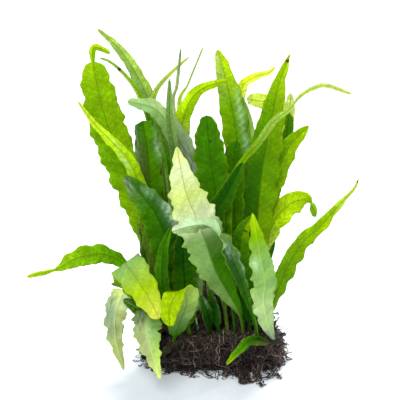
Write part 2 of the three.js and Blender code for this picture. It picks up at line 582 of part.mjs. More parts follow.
function geometryOf(body) {
  const mesh = body.getMesh();
  const geometry = new THREE.BufferGeometry();
  geometry.setAttribute("position", new THREE.BufferAttribute(mesh.vertProperties, 3));
  geometry.setIndex(new THREE.BufferAttribute(mesh.triVerts, 1));
  return geometry;
}

// The largest body that is left after cutting, without loose scraps.
function largest(body) {
  return body.decompose().sort((a, b) => b.volume() - a.volume())[0];
}

const group = new THREE.Group();

function place(name, geometry, color, roughness) {
  const material = new THREE.MeshStandardMaterial({ color, roughness, metalness: 0, flatShading: true });
  const mesh = new THREE.Mesh(geometry, material);
  mesh.name = name;
  group.add(mesh);
}

const stalkHoles = wasm.Manifold.union(fronds.map((shape) => solid(stalkHole(shape))));
const rhizomeBeds = wasm.Manifold.union(
  Object.values(rhizomes).map((points) => solid(rhizomeGeometry(points, clearance))),
);

const roots = wasm.Manifold.union([matCore(), ...allRoots()].map(solid));
const aboveGround = solid(new THREE.BoxGeometry(400, 400, 200).translate(0, 0, 100));
const mat = largest(roots.intersect(aboveGround).subtract(rhizomeBeds).subtract(stalkHoles));
place("root_mat", geometryOf(mat), rootBrown, 0.95);

for (const [name, points] of Object.entries(rhizomes)) {
  const stem = largest(solid(rhizomeGeometry(points, 0)).subtract(stalkHoles));
  place(name, geometryOf(stem), rhizomeBrown, 0.8);
}

for (const shape of fronds) {
  place(shape.name, frondGeometry(shape), shape.colour, 0.45);
}

export default group;
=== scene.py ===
import bpy
import numpy as np
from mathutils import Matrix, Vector


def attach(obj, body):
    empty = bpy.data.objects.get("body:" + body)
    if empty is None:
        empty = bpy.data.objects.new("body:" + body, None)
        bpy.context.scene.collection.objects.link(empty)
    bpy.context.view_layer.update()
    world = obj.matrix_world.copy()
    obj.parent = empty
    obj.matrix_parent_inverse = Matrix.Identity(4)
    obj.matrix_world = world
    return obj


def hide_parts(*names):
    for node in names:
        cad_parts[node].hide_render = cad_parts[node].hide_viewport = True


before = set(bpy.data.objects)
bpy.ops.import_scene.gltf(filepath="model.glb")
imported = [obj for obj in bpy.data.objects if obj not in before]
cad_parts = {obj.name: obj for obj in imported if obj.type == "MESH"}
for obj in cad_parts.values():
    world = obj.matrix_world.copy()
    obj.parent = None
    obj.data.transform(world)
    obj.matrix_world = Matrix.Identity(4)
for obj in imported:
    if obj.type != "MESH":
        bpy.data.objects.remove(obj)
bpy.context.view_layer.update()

# The root mat: what the fern holds on with, a flat cushion that grew as one tangle of wiry,
# brown-black roots. A packed core fills its middle, thick roots stand out of it, and finer roots
# and hairs cover both.
METRES_PER_MM = 0.001
MAT_LENGTH = 98
MAT_DEPTH = 58
MAT_HEIGHT = 25
MAT_CORNERING = 0.7
LEFT_END_SHARE = 0.88
UNDERCUT_HEIGHT = 8
UNDERCUT_SHARE = 0.2
LUMP_ACROSS = 0.018
LUMP_UP = 0.02


def mat_skin(turn, level):
    """Places on the mat's skin, at turns around it and levels from 0, the ground, to 1, the top. A
    superellipse with a shortened left end is drawn in towards the top by
    (1 - level ** (10 / 3)) ** 0.25 and near the ground by an undercut, and three crossing sine waves
    swell it into lumps."""
    def cornered(value):
        return np.sign(value) * np.abs(value) ** MAT_CORNERING

    z = MAT_HEIGHT * level
    raised = np.minimum(1, z / UNDERCUT_HEIGHT)
    drawn = (1 - level ** (10 / 3)) ** 0.25 * (1 - UNDERCUT_SHARE * (1 - raised) ** 2)
    end = np.where(np.cos(turn) < 0, LEFT_END_SHARE, 1)
    x = MAT_LENGTH / 2 * end * cornered(np.cos(turn)) * drawn
    y = MAT_DEPTH / 2 * cornered(np.sin(turn)) * drawn
    lump = (np.sin(0.16 * x + 0.21 * y + 0.5)
            + np.sin(0.27 * x - 0.19 * y + 0.3 * z + 2)
            + 0.7 * np.sin(0.41 * x + 0.5 * y + 0.3 * z))
    wide = 1 + LUMP_ACROSS * lump
    high = 1 + LUMP_UP * lump
    return np.stack(np.broadcast_arrays(x * wide, y * wide, z * high), axis=-1)


def with_poles(grid):
    """Values of all points, strand by strand, from a grid of strands, rows, corners and values. The
    mean of each strand's first and last row is added after it, for its two poles."""
    strands, rows, around, size = grid.shape
    poles = grid[:, [0, -1]].mean(axis=2)
    return np.concatenate([grid.reshape(strands, rows * around, size), poles], axis=1).reshape(-1, size)


def skin_mesh(name, rings):
    """A mesh of closed skins. Quads join each row of a strand to the next, and fans of triangles
    join its first and last row to its poles."""
    strands, rows, around = rings.shape[:3]
    foot_pole = rows * around
    tip_pole = foot_pole + 1
    here = np.arange(foot_pole).reshape(rows, around)
    beside = np.roll(here, -1, axis=1)
    quads = np.stack([here[:-1], beside[:-1], beside[1:], here[1:]], axis=-1).reshape(-1, 4)
    foot_fan = np.stack([beside[0], here[0], np.full(around, foot_pole)], axis=-1)
    tip_fan = np.stack([here[-1], beside[-1], np.full(around, tip_pole)], axis=-1)
    starts = np.arange(strands)[:, None] * (tip_pole + 1)
    corners = np.concatenate([quads.ravel(), foot_fan.ravel(), tip_fan.ravel()])
    face_sizes = np.tile(np.repeat([4, 3], [len(quads), 2 * around]), strands)

    mesh = bpy.data.meshes.new(name)
    points = with_poles(rings) * METRES_PER_MM
    mesh.vertices.add(len(points))
    mesh.vertices.foreach_set("co", points.ravel())
    mesh.loops.add(strands * len(corners))
    mesh.loops.foreach_set("vertex_index", (corners + starts).ravel())
    mesh.polygons.add(len(face_sizes))
    mesh.polygons.foreach_set("loop_start", np.cumsum(face_sizes) - face_sizes)
    mesh.update(calc_edges=True)
    mesh.shade_smooth()
    return mesh


def add_colours(mesh, name, grid):
    """Keeps a grid of colours on the mesh as an attribute of its points."""
    colours = with_poles(grid)
    opaque = np.concatenate([colours, np.ones((len(colours), 1))], axis=1)
    mesh.attributes.new(name, "FLOAT_COLOR", "POINT").data.foreach_set("color", opaque.ravel())


def add_piece(mesh, node, materials):
    """Puts a finished mesh on the body, in place of a node."""
    piece = bpy.data.objects.new(mesh.name, mesh)
    bpy.context.scene.collection.objects.link(piece)
    for material in materials:
        mesh.materials.append(material)
    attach(piece, "root")
    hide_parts(node)


def unit(vectors):
    """Vectors with a length of 1."""
    return vectors / np.linalg.norm(vectors, axis=-1, keepdims=True)


class Finish:
    """A material in the making. Each method that adds a node gives back one of its outlets."""

    def __init__(self, name):
        self.material = bpy.data.materials.new(name)
        self.material.use_nodes = True
        self.tree = self.material.node_tree
        self.place = self.node("TexCoord", "Object")

    def feed(self, node, sockets):
        """Gives each socket of a node its value, or links it to the outlet that feeds it."""
        for title, value in sockets.items():
            if isinstance(value, bpy.types.NodeSocket):
                self.tree.links.new(value, node.inputs[title])
            else:
                node.inputs[title].default_value = value

    def node(self, kind, outlet, sockets=None, **choices):
        """A node of this kind, with its choices made and its sockets fed."""
        node = self.tree.nodes.new("ShaderNode" + kind)
        for title, value in choices.items():
            setattr(node, title, value)
        self.feed(node, sockets or {})
        return node.outputs[outlet]

    def attribute(self, title, outlet="Color"):
        """What the mesh keeps under this title."""
        return self.node("Attribute", outlet, attribute_name=title)

    def noise(self, scale, detail, place=None, roughness=0.5):
        """Noise with this many waves to a metre, or to 1 of the place that is given."""
        sockets = {"Vector": place or self.place, "Scale": scale, "Detail": detail, "Roughness": roughness}
        return self.node("TexNoise", "Fac", sockets)

    def maths(self, operation, first, second=0.0):
        """What an operation makes of one or two numbers."""
        return self.node("Math", "Value", {0: first, 1: second}, operation=operation)

    def ramp(self, value, low, high, at_low, at_high, interpolation="SMOOTHSTEP"):
        """A number that goes from at_low to at_high as the value goes from low to high."""
        sockets = {"Value": value, "From Min": low, "From Max": high, "To Min": at_low, "To Max": at_high}
        return self.node("MapRange", "Result", sockets, interpolation_type=interpolation)

    def blend(self, how, share, first, second):
        """The first colour, mixed with the second or multiplied by it, as far as the share says."""
        sockets = {"Factor": share, "A": first, "B": second}
        return self.node("Mix", "Result", sockets, data_type="RGBA", blend_type=how)

    def bump(self, height, strength, invert=False):
        """A fine relief, up to 0.4 mm high."""
        sockets = {"Strength": strength, "Distance": 0.4 * METRES_PER_MM, "Height": height}
        return self.node("Bump", "Normal", sockets, invert=invert)

    def coat(self, colour, roughness, specular, normal):
        """Feeds the main shader, and gives back the material."""
        self.feed(self.tree.nodes["Principled BSDF"], {
            "Base Color": colour, "Roughness": roughness, "Specular IOR Level": specular, "Normal": normal})
        return self.material


def root_material(name, grain, roughness):
    """Wiry root: the strand's own colour, darkened and lightened by noise, with a dull sheen and a
    fine bump."""
    root = Finish(name)
    noise = root.noise(grain, detail=6, roughness=0.65)
    depth = root.ramp(noise, 0.3, 0.72, 0.35, 1.7, "LINEAR")
    colour = root.blend("MULTIPLY", 1.0, root.attribute("tint"), depth)
    return root.coat(colour, roughness, specular=0.35, normal=root.bump(noise, strength=0.6))


packed_roots = root_material("packed_roots", grain=900, roughness=0.8)
wiry_root = root_material("wiry_root", grain=420, roughness=0.55)

# The mat's packed core, with its flat underside on the ground. Sine waves that cross at several
# sizes stand in for the bundles that the roots lie in.
CORE_TURNS = 240
CORE_ROWS = 70
CORE_GRAIN = 1.3
CORE_INSET = 1.3
CORE_FOOT = 1.5
CORE_TINT = np.array([0.016, 0.010, 0.007])

core_turn = 2 * np.pi * np.arange(CORE_TURNS) / CORE_TURNS
core_slope = np.linspace(0, np.pi / 2, CORE_ROWS + 1)[:-1, None]
core = mat_skin(core_turn, np.sin(core_slope) ** 0.6)
core_x, core_y, core_z = np.moveaxis(core, -1, 0)
core_grain = (np.sin(0.9 * core_x + 1.3 * core_z + 1.7 * np.sin(0.31 * core_y))
              + np.sin(1.4 * core_y - 1.1 * core_x + 2.2 * np.sin(0.4 * core_z))
              + np.sin(2.1 * core_z + 1.9 * core_x + np.sin(1.7 * core_y)))
core_out = unit(core * [1, 1, 1.5] + [0, 0, 0.01])
core_rise = np.minimum(1, core_z / CORE_FOOT)[..., None]
core = core + core_out * core_rise * CORE_GRAIN * (core_grain[..., None] / 3 - CORE_INSET)
core_mesh = skin_mesh("mat_core", core[None])
# Painted shade: the core's colour is darker where its grain draws it in, in the hollows between its
# bundles.
add_colours(core_mesh, "tint", (0.4 + 0.25 * core_grain[None, ..., None]) * CORE_TINT)
add_piece(core_mesh, "root_mat", [packed_roots])

# The thick roots that stand out of the mat: some creep over it, some curl out at its foot, and
# at the right front a tuft sprawls forward over the ground.
CREEPING_ROOTS = 22
CREEPING_RADIUS = 0.55
FOOT_ROOTS = 14
FOOT_RADIUS = 0.5
TUFT_ROOTS = 9
TUFT_RADIUS = 0.5
TUFT_LEFT = 15
TUFT_STEP = 3.1
LONG_TUFT_ROOTS = 6
THICK_STEPS = 28
FRONT_RIM = -MAT_DEPTH / 2


def seeded(seed):
    """Even numbers from 0 to 1, each from a whole number that is the one before it times 1664525
    plus 1013904223, kept within 32 bits."""
    state = seed
    while True:
        state = (state * 1664525 + 1013904223) % 2 ** 32
        yield state / 2 ** 32


root_chance = seeded(7)


def between(low, high):
    """A seeded number between two limits."""
    return low + (high - low) * next(root_chance)


def either_way():
    """One way or the other, by a seeded number."""
    return -1 if next(root_chance) < 0.5 else 1


def around_mat(number, count):
    """A turn for the root of this number, one of an even count, up to 0.9 of its share further on."""
    return 2 * np.pi * (number + 0.9 * next(root_chance)) / count


def creeping_root(turn):
    """Places of a root that leaves the core, arches along the skin and goes back in, and its radius."""
    level = between(0.2, 0.78)
    climb = between(-0.22, 0.2)
    sweep = between(0.25, 0.6) * either_way()
    steps = np.array([-0.1, 0.2, 0.5, 0.8, 1.1])
    out = np.array([0.86, 1.05, 1.09, 1.05, 0.86]) + [between(-0.01, 0.02) for _ in steps]
    places = mat_skin(turn + sweep * steps, np.clip(level + climb * steps, 0.16, 0.96)) * out[:, None]
    places[:, 2] = np.maximum(0.9, places[:, 2])
    return places, CREEPING_RADIUS * between(0.88, 1.12)


def foot_root(turn):
    """Places of a root that leaves the mat near its foot and curls along the ground, and its radius."""
    start = mat_skin(turn, between(0.2, 0.45))
    away = unit(start * [1, 1, 0])
    aside = np.array([-away[1], away[0], 0])
    reach = between(2, 5)
    curl = reach * between(1, 2) * either_way()
    bends = np.array([[0.4, 0.25, start[2] * 0.4 + 0.6], [0.8, 0.7, 0.8], [0.6, 1.2, 0.6]])
    outer = start + reach * bends[:, :1] * away + curl * bends[:, 1:2] * aside
    outer[:, 2] = bends[:, 2]
    return np.concatenate([[0.82 * start, start], outer]), FOOT_RADIUS * between(0.9, 1.1)


def tuft_root(number):
    """Places of a root of the tuft, from inside the mat forward over the ground, and its radius.
    The last ones reach half as far, and every third one loops back to the mat."""
    x = TUFT_LEFT + TUFT_STEP * number
    reach = between(13, 21) * (1 if number < LONG_TUFT_ROOTS else 0.5)
    bend = between(-8, 8)
    height = between(5, 12)
    places = [[x, FRONT_RIM + 5, height], [x + bend * 0.1, FRONT_RIM - 1, height * 0.7],
              [x + bend * 0.5, FRONT_RIM - reach * 0.45, 2.2],
              [x + bend * 0.9, FRONT_RIM - reach * 0.85, 1.4]]
    if number % 3 == 1:
        places += [[x + bend * 0.5 + 6, FRONT_RIM - reach * 0.8, 0.8],
                   [x + bend * 0.2 + 7, FRONT_RIM - reach * 0.2, 0.8]]
    else:
        places += [[x + bend * 1.2, FRONT_RIM - reach, 0.7]]
    return np.array(places), TUFT_RADIUS


def smooth_curve(points, steps):
    """Places along smooth curves through rows of points. Between two points the curve is the cubic
    whose slope at each is half the step between its neighbours, and it runs straight on at its ends."""
    before = 2 * points[:, :1] - points[:, 1:2]
    after = 2 * points[:, -1:] - points[:, -2:-1]
    padded = np.concatenate([before, points, after], axis=1)
    spans = points.shape[1] - 1
    share = np.linspace(0, spans, steps)
    span = np.minimum(share.astype(int), spans - 1)
    t = (share - span)[:, None]
    a, b, c, d = (padded[:, span + k] for k in range(4))
    return b + 0.5 * t * (c - a + t * (2 * a - 5 * b + 4 * c - d + t * (3 * b - a - 3 * c + d)))


thick_roots = [creeping_root(around_mat(n, CREEPING_ROOTS)) for n in range(CREEPING_ROOTS)]
thick_roots += [foot_root(around_mat(n, FOOT_ROOTS)) for n in range(FOOT_ROOTS)]
thick_roots += [tuft_root(n) for n in range(TUFT_ROOTS)]
thick_places = np.concatenate([smooth_curve(places[None], THICK_STEPS) for places, radius in thick_roots])
thick_radii = np.array([radius for places, radius in thick_roots])

# How each strand of root is made: a wiggly round tube, thinner towards both ends, in a colour of
# its own. Five finer companions run along each thick root, and three along each root of the tuft.
COMPANIONS = 5
TUFT_COMPANIONS = 3
COMPANION_SPREAD = [0.9, 0.9, 0.7]
SIDE_OF_STRAIGHT_ROOTS = np.array([0.011, 0.017, 0.013])
chance = np.random.default_rng(11)


def wiggled(places, size, radii):
    """Strands bent by three sine waves along them, of random turn and height, and kept above ground."""
    share = np.linspace(0, 1, places.shape[1])[None, :, None]
    strands = len(places)
    for waves in (2.5, 5, 9):
        phase = chance.random((strands, 1, 3)) * 2 * np.pi
        height = chance.normal(size=(strands, 1, 3)) * size / waves
        places = places + height * np.sin(2 * np.pi * waves * share + phase)
    places[..., 2] = np.maximum(radii[:, None] + 0.05, places[..., 2])
    return places


def tapered(radii, steps):
    """A radius for each step of each strand: thinner by half towards both ends, with knots."""
    share = np.linspace(0, 1, steps)
    return radii[:, None] * (0.55 + 0.45 * np.sin(np.pi * share) ** 0.5) * (1 + 0.12 * np.sin(23 * share))


def tubes(places, radii, around):
    """Rings of round tubes along strands of places. Each ring is a circle in the plane square to
    the strand, and starts from the side that faces out of the strand's own bend."""
    along = unit(np.gradient(places, axis=1))
    middle = places.shape[1] // 2
    bend = np.cross(places[:, middle] - places[:, 0], places[:, -1] - places[:, middle])
    side = unit(bend + SIDE_OF_STRAIGHT_ROOTS)[:, None]
    side = unit(side - along * (side * along).sum(axis=-1, keepdims=True))
    other = np.cross(along, side)
    turn = (2 * np.pi * np.arange(around) / around)[:, None]
    circle = side[:, :, None] * np.cos(turn) + other[:, :, None] * np.sin(turn)
    return places[:, :, None] + circle * radii[..., None, None]


def root_tints(strands):
    """A colour for each root: most brown-black, fewer brown, a few rusty, and a few pale grey as a painted
    glint.
    """
    dark = np.array([0.008, 0.005, 0.0035])
    brown = np.array([0.105, 0.068, 0.048])
    rusty = np.array([0.090, 0.038, 0.015])
    # Painted glint: a few roots are pale grey all along, standing in for the light that glints off them.
    painted_glint = np.array([0.170, 0.140, 0.125])
    age = chance.random((strands, 1)) ** 4
    tints = dark + (brown - dark) * age
    kind = chance.random((strands, 1))
    tints = np.where(kind > 0.97, rusty, tints)
    return np.where(kind < 0.05, painted_glint, tints)


def add_roots(name, places, radii, wiggle, around):
    """Makes one piece of many roots, each wiggled, tapered, and round with this many corners."""
    places = wiggled(places, wiggle, radii)
    mesh = skin_mesh(name, tubes(places, tapered(radii, places.shape[1]), around))
    tints = root_tints(len(places))[:, None, None]
    add_colours(mesh, "tint", np.broadcast_to(tints, (*places.shape[:2], around, 3)))
    add_piece(mesh, "root_mat", [wiry_root])


add_roots("mat_thick_roots", thick_places, thick_radii, wiggle=2.6, around=8)
companions = np.full(len(thick_places), COMPANIONS)
companions[-TUFT_ROOTS:] = TUFT_COMPANIONS
companion_places = np.repeat(thick_places, companions, axis=0)
companion_radii = np.repeat(thick_radii, companions) * chance.uniform(0.5, 0.9, len(companion_places))
companion_places = companion_places + chance.normal(size=(len(companion_places), 1, 3)) * COMPANION_SPREAD
add_roots("mat_companion_roots", companion_places, companion_radii, wiggle=2.8, around=4)

# The fine roots that cover the core in every direction, those that straggle over the ground
# around it, and the hairs that stick out of them. Each starts from a place on the mat's skin.
FINE_ROOTS = 1100
GROUND_ROOTS = 420
HAIRS = 1500
RIGHT_END = 38
FLAT = [1, 1, 0]

fine_turn = chance.uniform(0, 2 * np.pi, (FINE_ROOTS, 1))
fine_level = np.sin(chance.uniform(0.02, 1.45, (FINE_ROOTS, 1))) ** 0.6
fine_step = np.linspace(-0.5, 0.5, 6)
fine_sweep = chance.normal(0, 0.3, (FINE_ROOTS, 1))
fine_climb = chance.normal(0, 0.45, (FINE_ROOTS, 1))
fine_depth = chance.uniform(-0.05, 0.015, (FINE_ROOTS, 1))
fine_out = 1.0 + fine_depth + 0.035 * np.cos(2.6 * fine_step) + chance.normal(0, 0.012, (FINE_ROOTS, 6))
fine_heights = np.clip(fine_level + fine_climb * fine_step, 0.03, 0.985)
fine_places = mat_skin(fine_turn + fine_sweep * fine_step, fine_heights) * fine_out[..., None]
fine_radii = chance.uniform(0.18, 0.42, FINE_ROOTS)
add_roots("mat_fine_roots", smooth_curve(fine_places, steps=22), fine_radii, wiggle=5.0, around=4)

ground_turn = chance.uniform(0, 2 * np.pi, GROUND_ROOTS)
ground_start = mat_skin(ground_turn, chance.uniform(0.03, 0.25, GROUND_ROOTS))
ground_out = unit(ground_start * FLAT + chance.normal(0, 16, (GROUND_ROOTS, 3)) * FLAT)
ground_reach = chance.uniform(1.5, 5.5, (GROUND_ROOTS, 1))
ground_curl = chance.normal(0, 2.5, (GROUND_ROOTS, 3)) * FLAT
ground_way = ground_reach * ground_out
ground_places = np.stack([
    ground_start * 0.9,
    ground_start + 0.3 * ground_way,
    ground_start * [1, 1, 0.3] + 0.8 * ground_way + 0.5 * ground_curl,
    ground_start * FLAT + ground_way + 1.4 * ground_curl,
    ground_start * [0.98, 0.98, 0] + 0.4 * ground_way + 1.5 * ground_curl], axis=1)
ground_radii = chance.uniform(0.15, 0.35, GROUND_ROOTS)
ground_places = smooth_curve(ground_places, steps=20)
add_roots("mat_ground_roots", ground_places, ground_radii, wiggle=2.0, around=4)

hair_turn = chance.uniform(0, 2 * np.pi, HAIRS)
hair_start = mat_skin(hair_turn, np.sin(chance.uniform(0.05, 1.2, HAIRS)) ** 0.6)
hair_out = unit(hair_start * [1, 1, 1.2] + chance.normal(0, 14, (HAIRS, 3)))
hair_length = chance.uniform(2, 5, (HAIRS, 1)) * np.where(hair_start[:, :1] > RIGHT_END, 0.5, 1)
hair_droop = chance.normal(0, 1.3, (HAIRS, 3)) - [0, 0, 0.8]
hair_places = np.stack([
    hair_start * 0.96,
    hair_start + hair_out * hair_length * 0.35,
    hair_start + hair_out * hair_length * 0.7 + hair_droop * 0.5,
    hair_start + hair_out * hair_length * 0.85 + hair_droop * 1.2], axis=1)
hair_radii = chance.uniform(0.1, 0.2, HAIRS)
add_roots("mat_hairs", smooth_curve(hair_places, steps=8), hair_radii, wiggle=0.9, around=3)

# Roots that grew over the front rhizome and bind it to the mat, which is how the fern holds on.
# They lie lower towards the ends of the rhizome, where it dips.
BINDING_ROOTS = 170
BOUND_LEFT = -34
BOUND_RIGHT = 48
BOUND_MIDDLE = 8
BOUND_DROP = 7

bind_x = chance.uniform(-27, 50, BINDING_ROOTS)
bind_lean = chance.normal(0, 9, BINDING_ROOTS)
bind_front = chance.uniform(-30.5, -26, BINDING_ROOTS)
bind_over = np.broadcast_to([[-27.5, 24.0], [-23, 26.6], [-16, 22.0]], (BINDING_ROOTS, 3, 2))
bind_first = np.stack([bind_front, chance.uniform(8, 18, BINDING_ROOTS)], axis=-1)
bind_across = bind_x[:, None] + bind_lean[:, None] * [-1, 0, 0.5, 1]
bind_across = np.clip(bind_across, BOUND_LEFT, BOUND_RIGHT)
bind_places = np.concatenate([
    bind_across[..., None], np.concatenate([bind_first[:, None], bind_over], axis=1)], axis=-1)
bind_far = np.clip((np.abs(bind_across - BOUND_MIDDLE) - 18) / 30, 0, 1)
bind_places[..., 2] -= bind_far ** 1.5 * BOUND_DROP
bind_radii = chance.uniform(0.2, 0.42, BINDING_ROOTS)
add_roots("mat_binding_roots", smooth_curve(bind_places, steps=18), bind_radii, wiggle=4.5, around=5)

# Dark strands that stand up from the rhizomes between the fronds, like young roots and old stumps of
# stalks. They are painted shade: they darken the gaps between the stalks, where the plant's own shade
# falls. They are shorter towards the mat's ends.
SHADE_ROOTS = 480
STANDING_LOW = [-34, -22, 18]
STANDING_HIGH = [44, 25, 22]

standing_foot = chance.normal([5, 0, 20], [19, 12, 1], (SHADE_ROOTS, 3))
standing_foot = np.clip(standing_foot, STANDING_LOW, STANDING_HIGH)
standing_lean = chance.normal(0, 3.0, (SHADE_ROOTS, 3)) * FLAT
standing_rise = chance.uniform(9, 36, (SHADE_ROOTS, 1)) * [0, 0, 1]
standing_rise = standing_rise * (1 - 0.65 * np.abs(standing_foot[:, :1] - 6) / 40)
standing_places = np.stack([
    standing_foot,
    standing_foot + 0.4 * standing_rise + 0.3 * standing_lean,
    standing_foot + 0.75 * standing_rise + 0.9 * standing_lean,
    standing_foot + standing_rise + 1.6 * standing_lean], axis=1)
standing_radii = chance.uniform(0.2, 0.45, SHADE_ROOTS)
standing_places = smooth_curve(standing_places, steps=16)
add_roots("mat_shade_roots", standing_places, standing_radii, wiggle=2.4, around=5)

# The rhizomes: four creeping stems, green-brown and as thick as a pencil, that carry the fronds.
# They lie half sunk in the top of the mat, with a swelling at each node and small dark scales all
# over.
RHIZOME_RADIUS = 3.5
RHIZOME_SWELLING = 0.35
RHIZOME_WRINKLE = 0.12
RHIZOME_ROWS = 160
RHIZOME_AROUND = 28
LENGTH_STEPS = 1200
rhizomes = {
    "rhizome_front": [(-31, -31, 16), (-22, -25, 21), (-4, -22, 23), (18, -23, 23), (34, -23, 21),
                      (47, -22, 17)],
    "rhizome_middle": [(-43, -7, 19), (-24, -5, 23), (0, -3, 24), (22, -1, 24), (43, 1, 19)],
    "rhizome_inner": [(-36, 14, 19), (-14, 14, 23), (10, 14, 24), (34, 14, 20)],
    "rhizome_back": [(-30, 25, 14), (-12, 24, 18), (10, 24, 18), (36, 25, 13)],
}


def spaced_curve(path, shares):
    """Places on the smooth curve through a path's points, at shares of its length, and the curve's
    length. The length is summed over short chords."""
    fine = smooth_curve(np.array([path], dtype=float), LENGTH_STEPS)[0]
    lengths = np.concatenate([[0], np.cumsum(np.linalg.norm(np.diff(fine, axis=0), axis=1))])
    places = [np.interp(shares * lengths[-1], lengths, axis) for axis in fine.T]
    return np.stack(places, axis=-1), lengths[-1]


def rhizome_material():
    """Rhizome skin: green-brown patches of noise, darkened by small scales, waxy, with a scaly bump."""
    skin = Finish("rhizome_skin")
    patches = skin.tree.nodes.new("ShaderNodeValToRGB")
    stops = patches.color_ramp.elements
    stops[0].position = 0.32
    stops[0].color = (0.018, 0.011, 0.006, 1)
    stops[1].position = 0.68
    stops[1].color = (0.075, 0.085, 0.028, 1)
    stops.new(0.5).color = (0.040, 0.032, 0.014, 1)
    skin.feed(patches, {"Fac": skin.noise(160, detail=5)})
    scales = skin.node("TexVoronoi", "Distance", {"Vector": skin.place, "Scale": 700})
    scale_shade = skin.ramp(scales, 0, 0.9, 1.25, 0.35, "LINEAR")
    colour = skin.blend("MULTIPLY", 1.0, patches.outputs["Color"], scale_shade)
    scaly = skin.bump(scales, strength=0.5, invert=True)
    return skin.coat(colour, roughness=0.6, specular=0.15, normal=scaly)


rhizome_skin = rhizome_material()
rhizome_share = np.linspace(0, 1, RHIZOME_ROWS)
rhizome_rounding = np.sqrt(np.maximum(0.01, 1 - np.abs(2 * rhizome_share - 1) ** 12))
rhizome_knots = RHIZOME_SWELLING * np.cos(12 * np.pi * rhizome_share)
rhizome_folds = RHIZOME_WRINKLE * np.sin(60 * np.pi * rhizome_share)
rhizome_radii = (RHIZOME_RADIUS + rhizome_knots + rhizome_folds) * rhizome_rounding
for rhizome_name, rhizome_path in rhizomes.items():
    rhizome_places = spaced_curve(rhizome_path, rhizome_share)[0][None]
    rhizome_rings = tubes(rhizome_places, rhizome_radii[None], RHIZOME_AROUND)
    add_piece(skin_mesh(rhizome_name + "_stem", rhizome_rings), rhizome_name, [rhizome_skin])

# The fronds: leathery leaves that each widen from a stalk into a blade with a midrib and a waved,
# ragged rim. Upper sides are green, undersides pale and silvery, with a painted sheen on some bulges
# between the side veins. The oldest have yellow tips and brown spots. Each grows from a rhizome.
STALK_ROWS = 14
ROWS_PER_WAVE = 12
HALF_COLUMNS = 10
COLUMN_CROWDING = 1.5
TIP_ROUNDING = 1.6
NARROWEST_HALF = 0.6

# The stalk, the midrib and the two thin skins of the blade.
STALK_RADIUS = 1.2
RIB_RADIUS = 0.55
RIB_REACH = 0.8
RIB_FIRMNESS = 0.9
UPPER_RIB_SHARE = 0.45
MEMBRANE = 0.2
OPENING = 4

# How the blade cups and puckers between its side veins, and how ragged its rims are.
CUPPING = 0.12
SHEET_LIFT = 1.4
VEIN_STEP = 5.0
VEIN_SLANT = 0.8
QUILTING = 0.34
QUILTED_HALF = 6
LOBES_PER_WAVE = [1.3, 1.7]
LOBE_MEAN = 0.64
JAGS_PER_WAVE = [2.6, 2.3]
JAG_DEPTH = 0.5
RIPPLE_DEPTH = 0.42
RIPPLE_SHARE = 0.3

# What the tissue looks like: its grain, veins, spots, grey and dark streaks, and the painted highlight on
# its rims.
LEAF_GRAIN = 650
LEAF_PATCHES = 110
LEAF_NET = 420
LEAF_PUCKERS = 520
TINT_MOTTLE = 0.04
RIM_HIGHLIGHT = 0.2
BROWN_FOOT = 9
FOOT_BROWNNESS = 0.6
FAR_FROM_MARKS = 9.0
STREAK_GREY = (0.34, 0.40, 0.36, 1)
STREAK_DARK = (0.030, 0.050, 0.022, 1)
SPOT_BROWN = (0.038, 0.020, 0.009, 1)
GLOW_YELLOW = (2.05, 1.5, 0.55, 1)

# Colours of leaf tissue, from the darkest green to bleached and silvery ones, and last the bluish white of
# the painted sheen.
leaf_colours = {
    "ink": (0.0060, 0.055, 0.0004),
    "forest": (0.0130, 0.095, 0.0006),
    "pine": (0.0270, 0.127, 0.0010),
    "fern": (0.0450, 0.178, 0.0008),
    "leaf": (0.0870, 0.266, 0.0008),
    "grass": (0.1380, 0.332, 0.0012),
    "meadow": (0.1950, 0.381, 0.0015),
    "spring": (0.2540, 0.468, 0.0015),
    "lime": (0.3520, 0.533, 0.0020),
    "lemon": (0.4450, 0.680, 0.0070),
    "butter": (0.6170, 0.791, 0.0540),
    "gold": (0.6700, 0.710, 0.0900),
    "chartreuse": (0.4230, 0.604, 0.1250),
    "cream": (0.6100, 0.724, 0.2120),
    "ivory": (0.6860, 0.753, 0.5000),
    "silver": (0.4130, 0.578, 0.2420),
    "mist": (0.3520, 0.560, 0.2700),
    "sage": (0.2380, 0.418, 0.1120),
    "moss": (0.1360, 0.262, 0.0560),
    "ash": (0.2380, 0.342, 0.2200),
    "dusty": (0.3600, 0.430, 0.1700),
    "olive": (0.0900, 0.160, 0.0150),
    "bark": (0.0450, 0.026, 0.0110),
    # The bluish white of the painted sheen.
    "sheen_and_streaks": (0.5500, 0.780, 0.6200),
}


def mixed(first, second, share):
    """A straight blend of two sets of colours."""
    return first + (second - first) * share


def blend_of(words, share, across):
    """Colours over a blade: the named ones stand at even shares of its length, with straight blends
    between them. Words after a bar are for the right half, which meets the left at the midrib; the two
    halves differ by painted light and shade, one lit and one shaded where the blade folds at the midrib."""
    halves = []
    for half in words.split("|"):
        knots = np.array([leaf_colours[word] for word in half.split()])
        stands = np.linspace(0, 1, len(knots))
        halves.append(np.stack([np.interp(share, stands, channel) for channel in knots.T], axis=-1))
    return mixed(halves[0], halves[-1], np.clip(0.5 + 8 * across, 0, 1)[..., None])


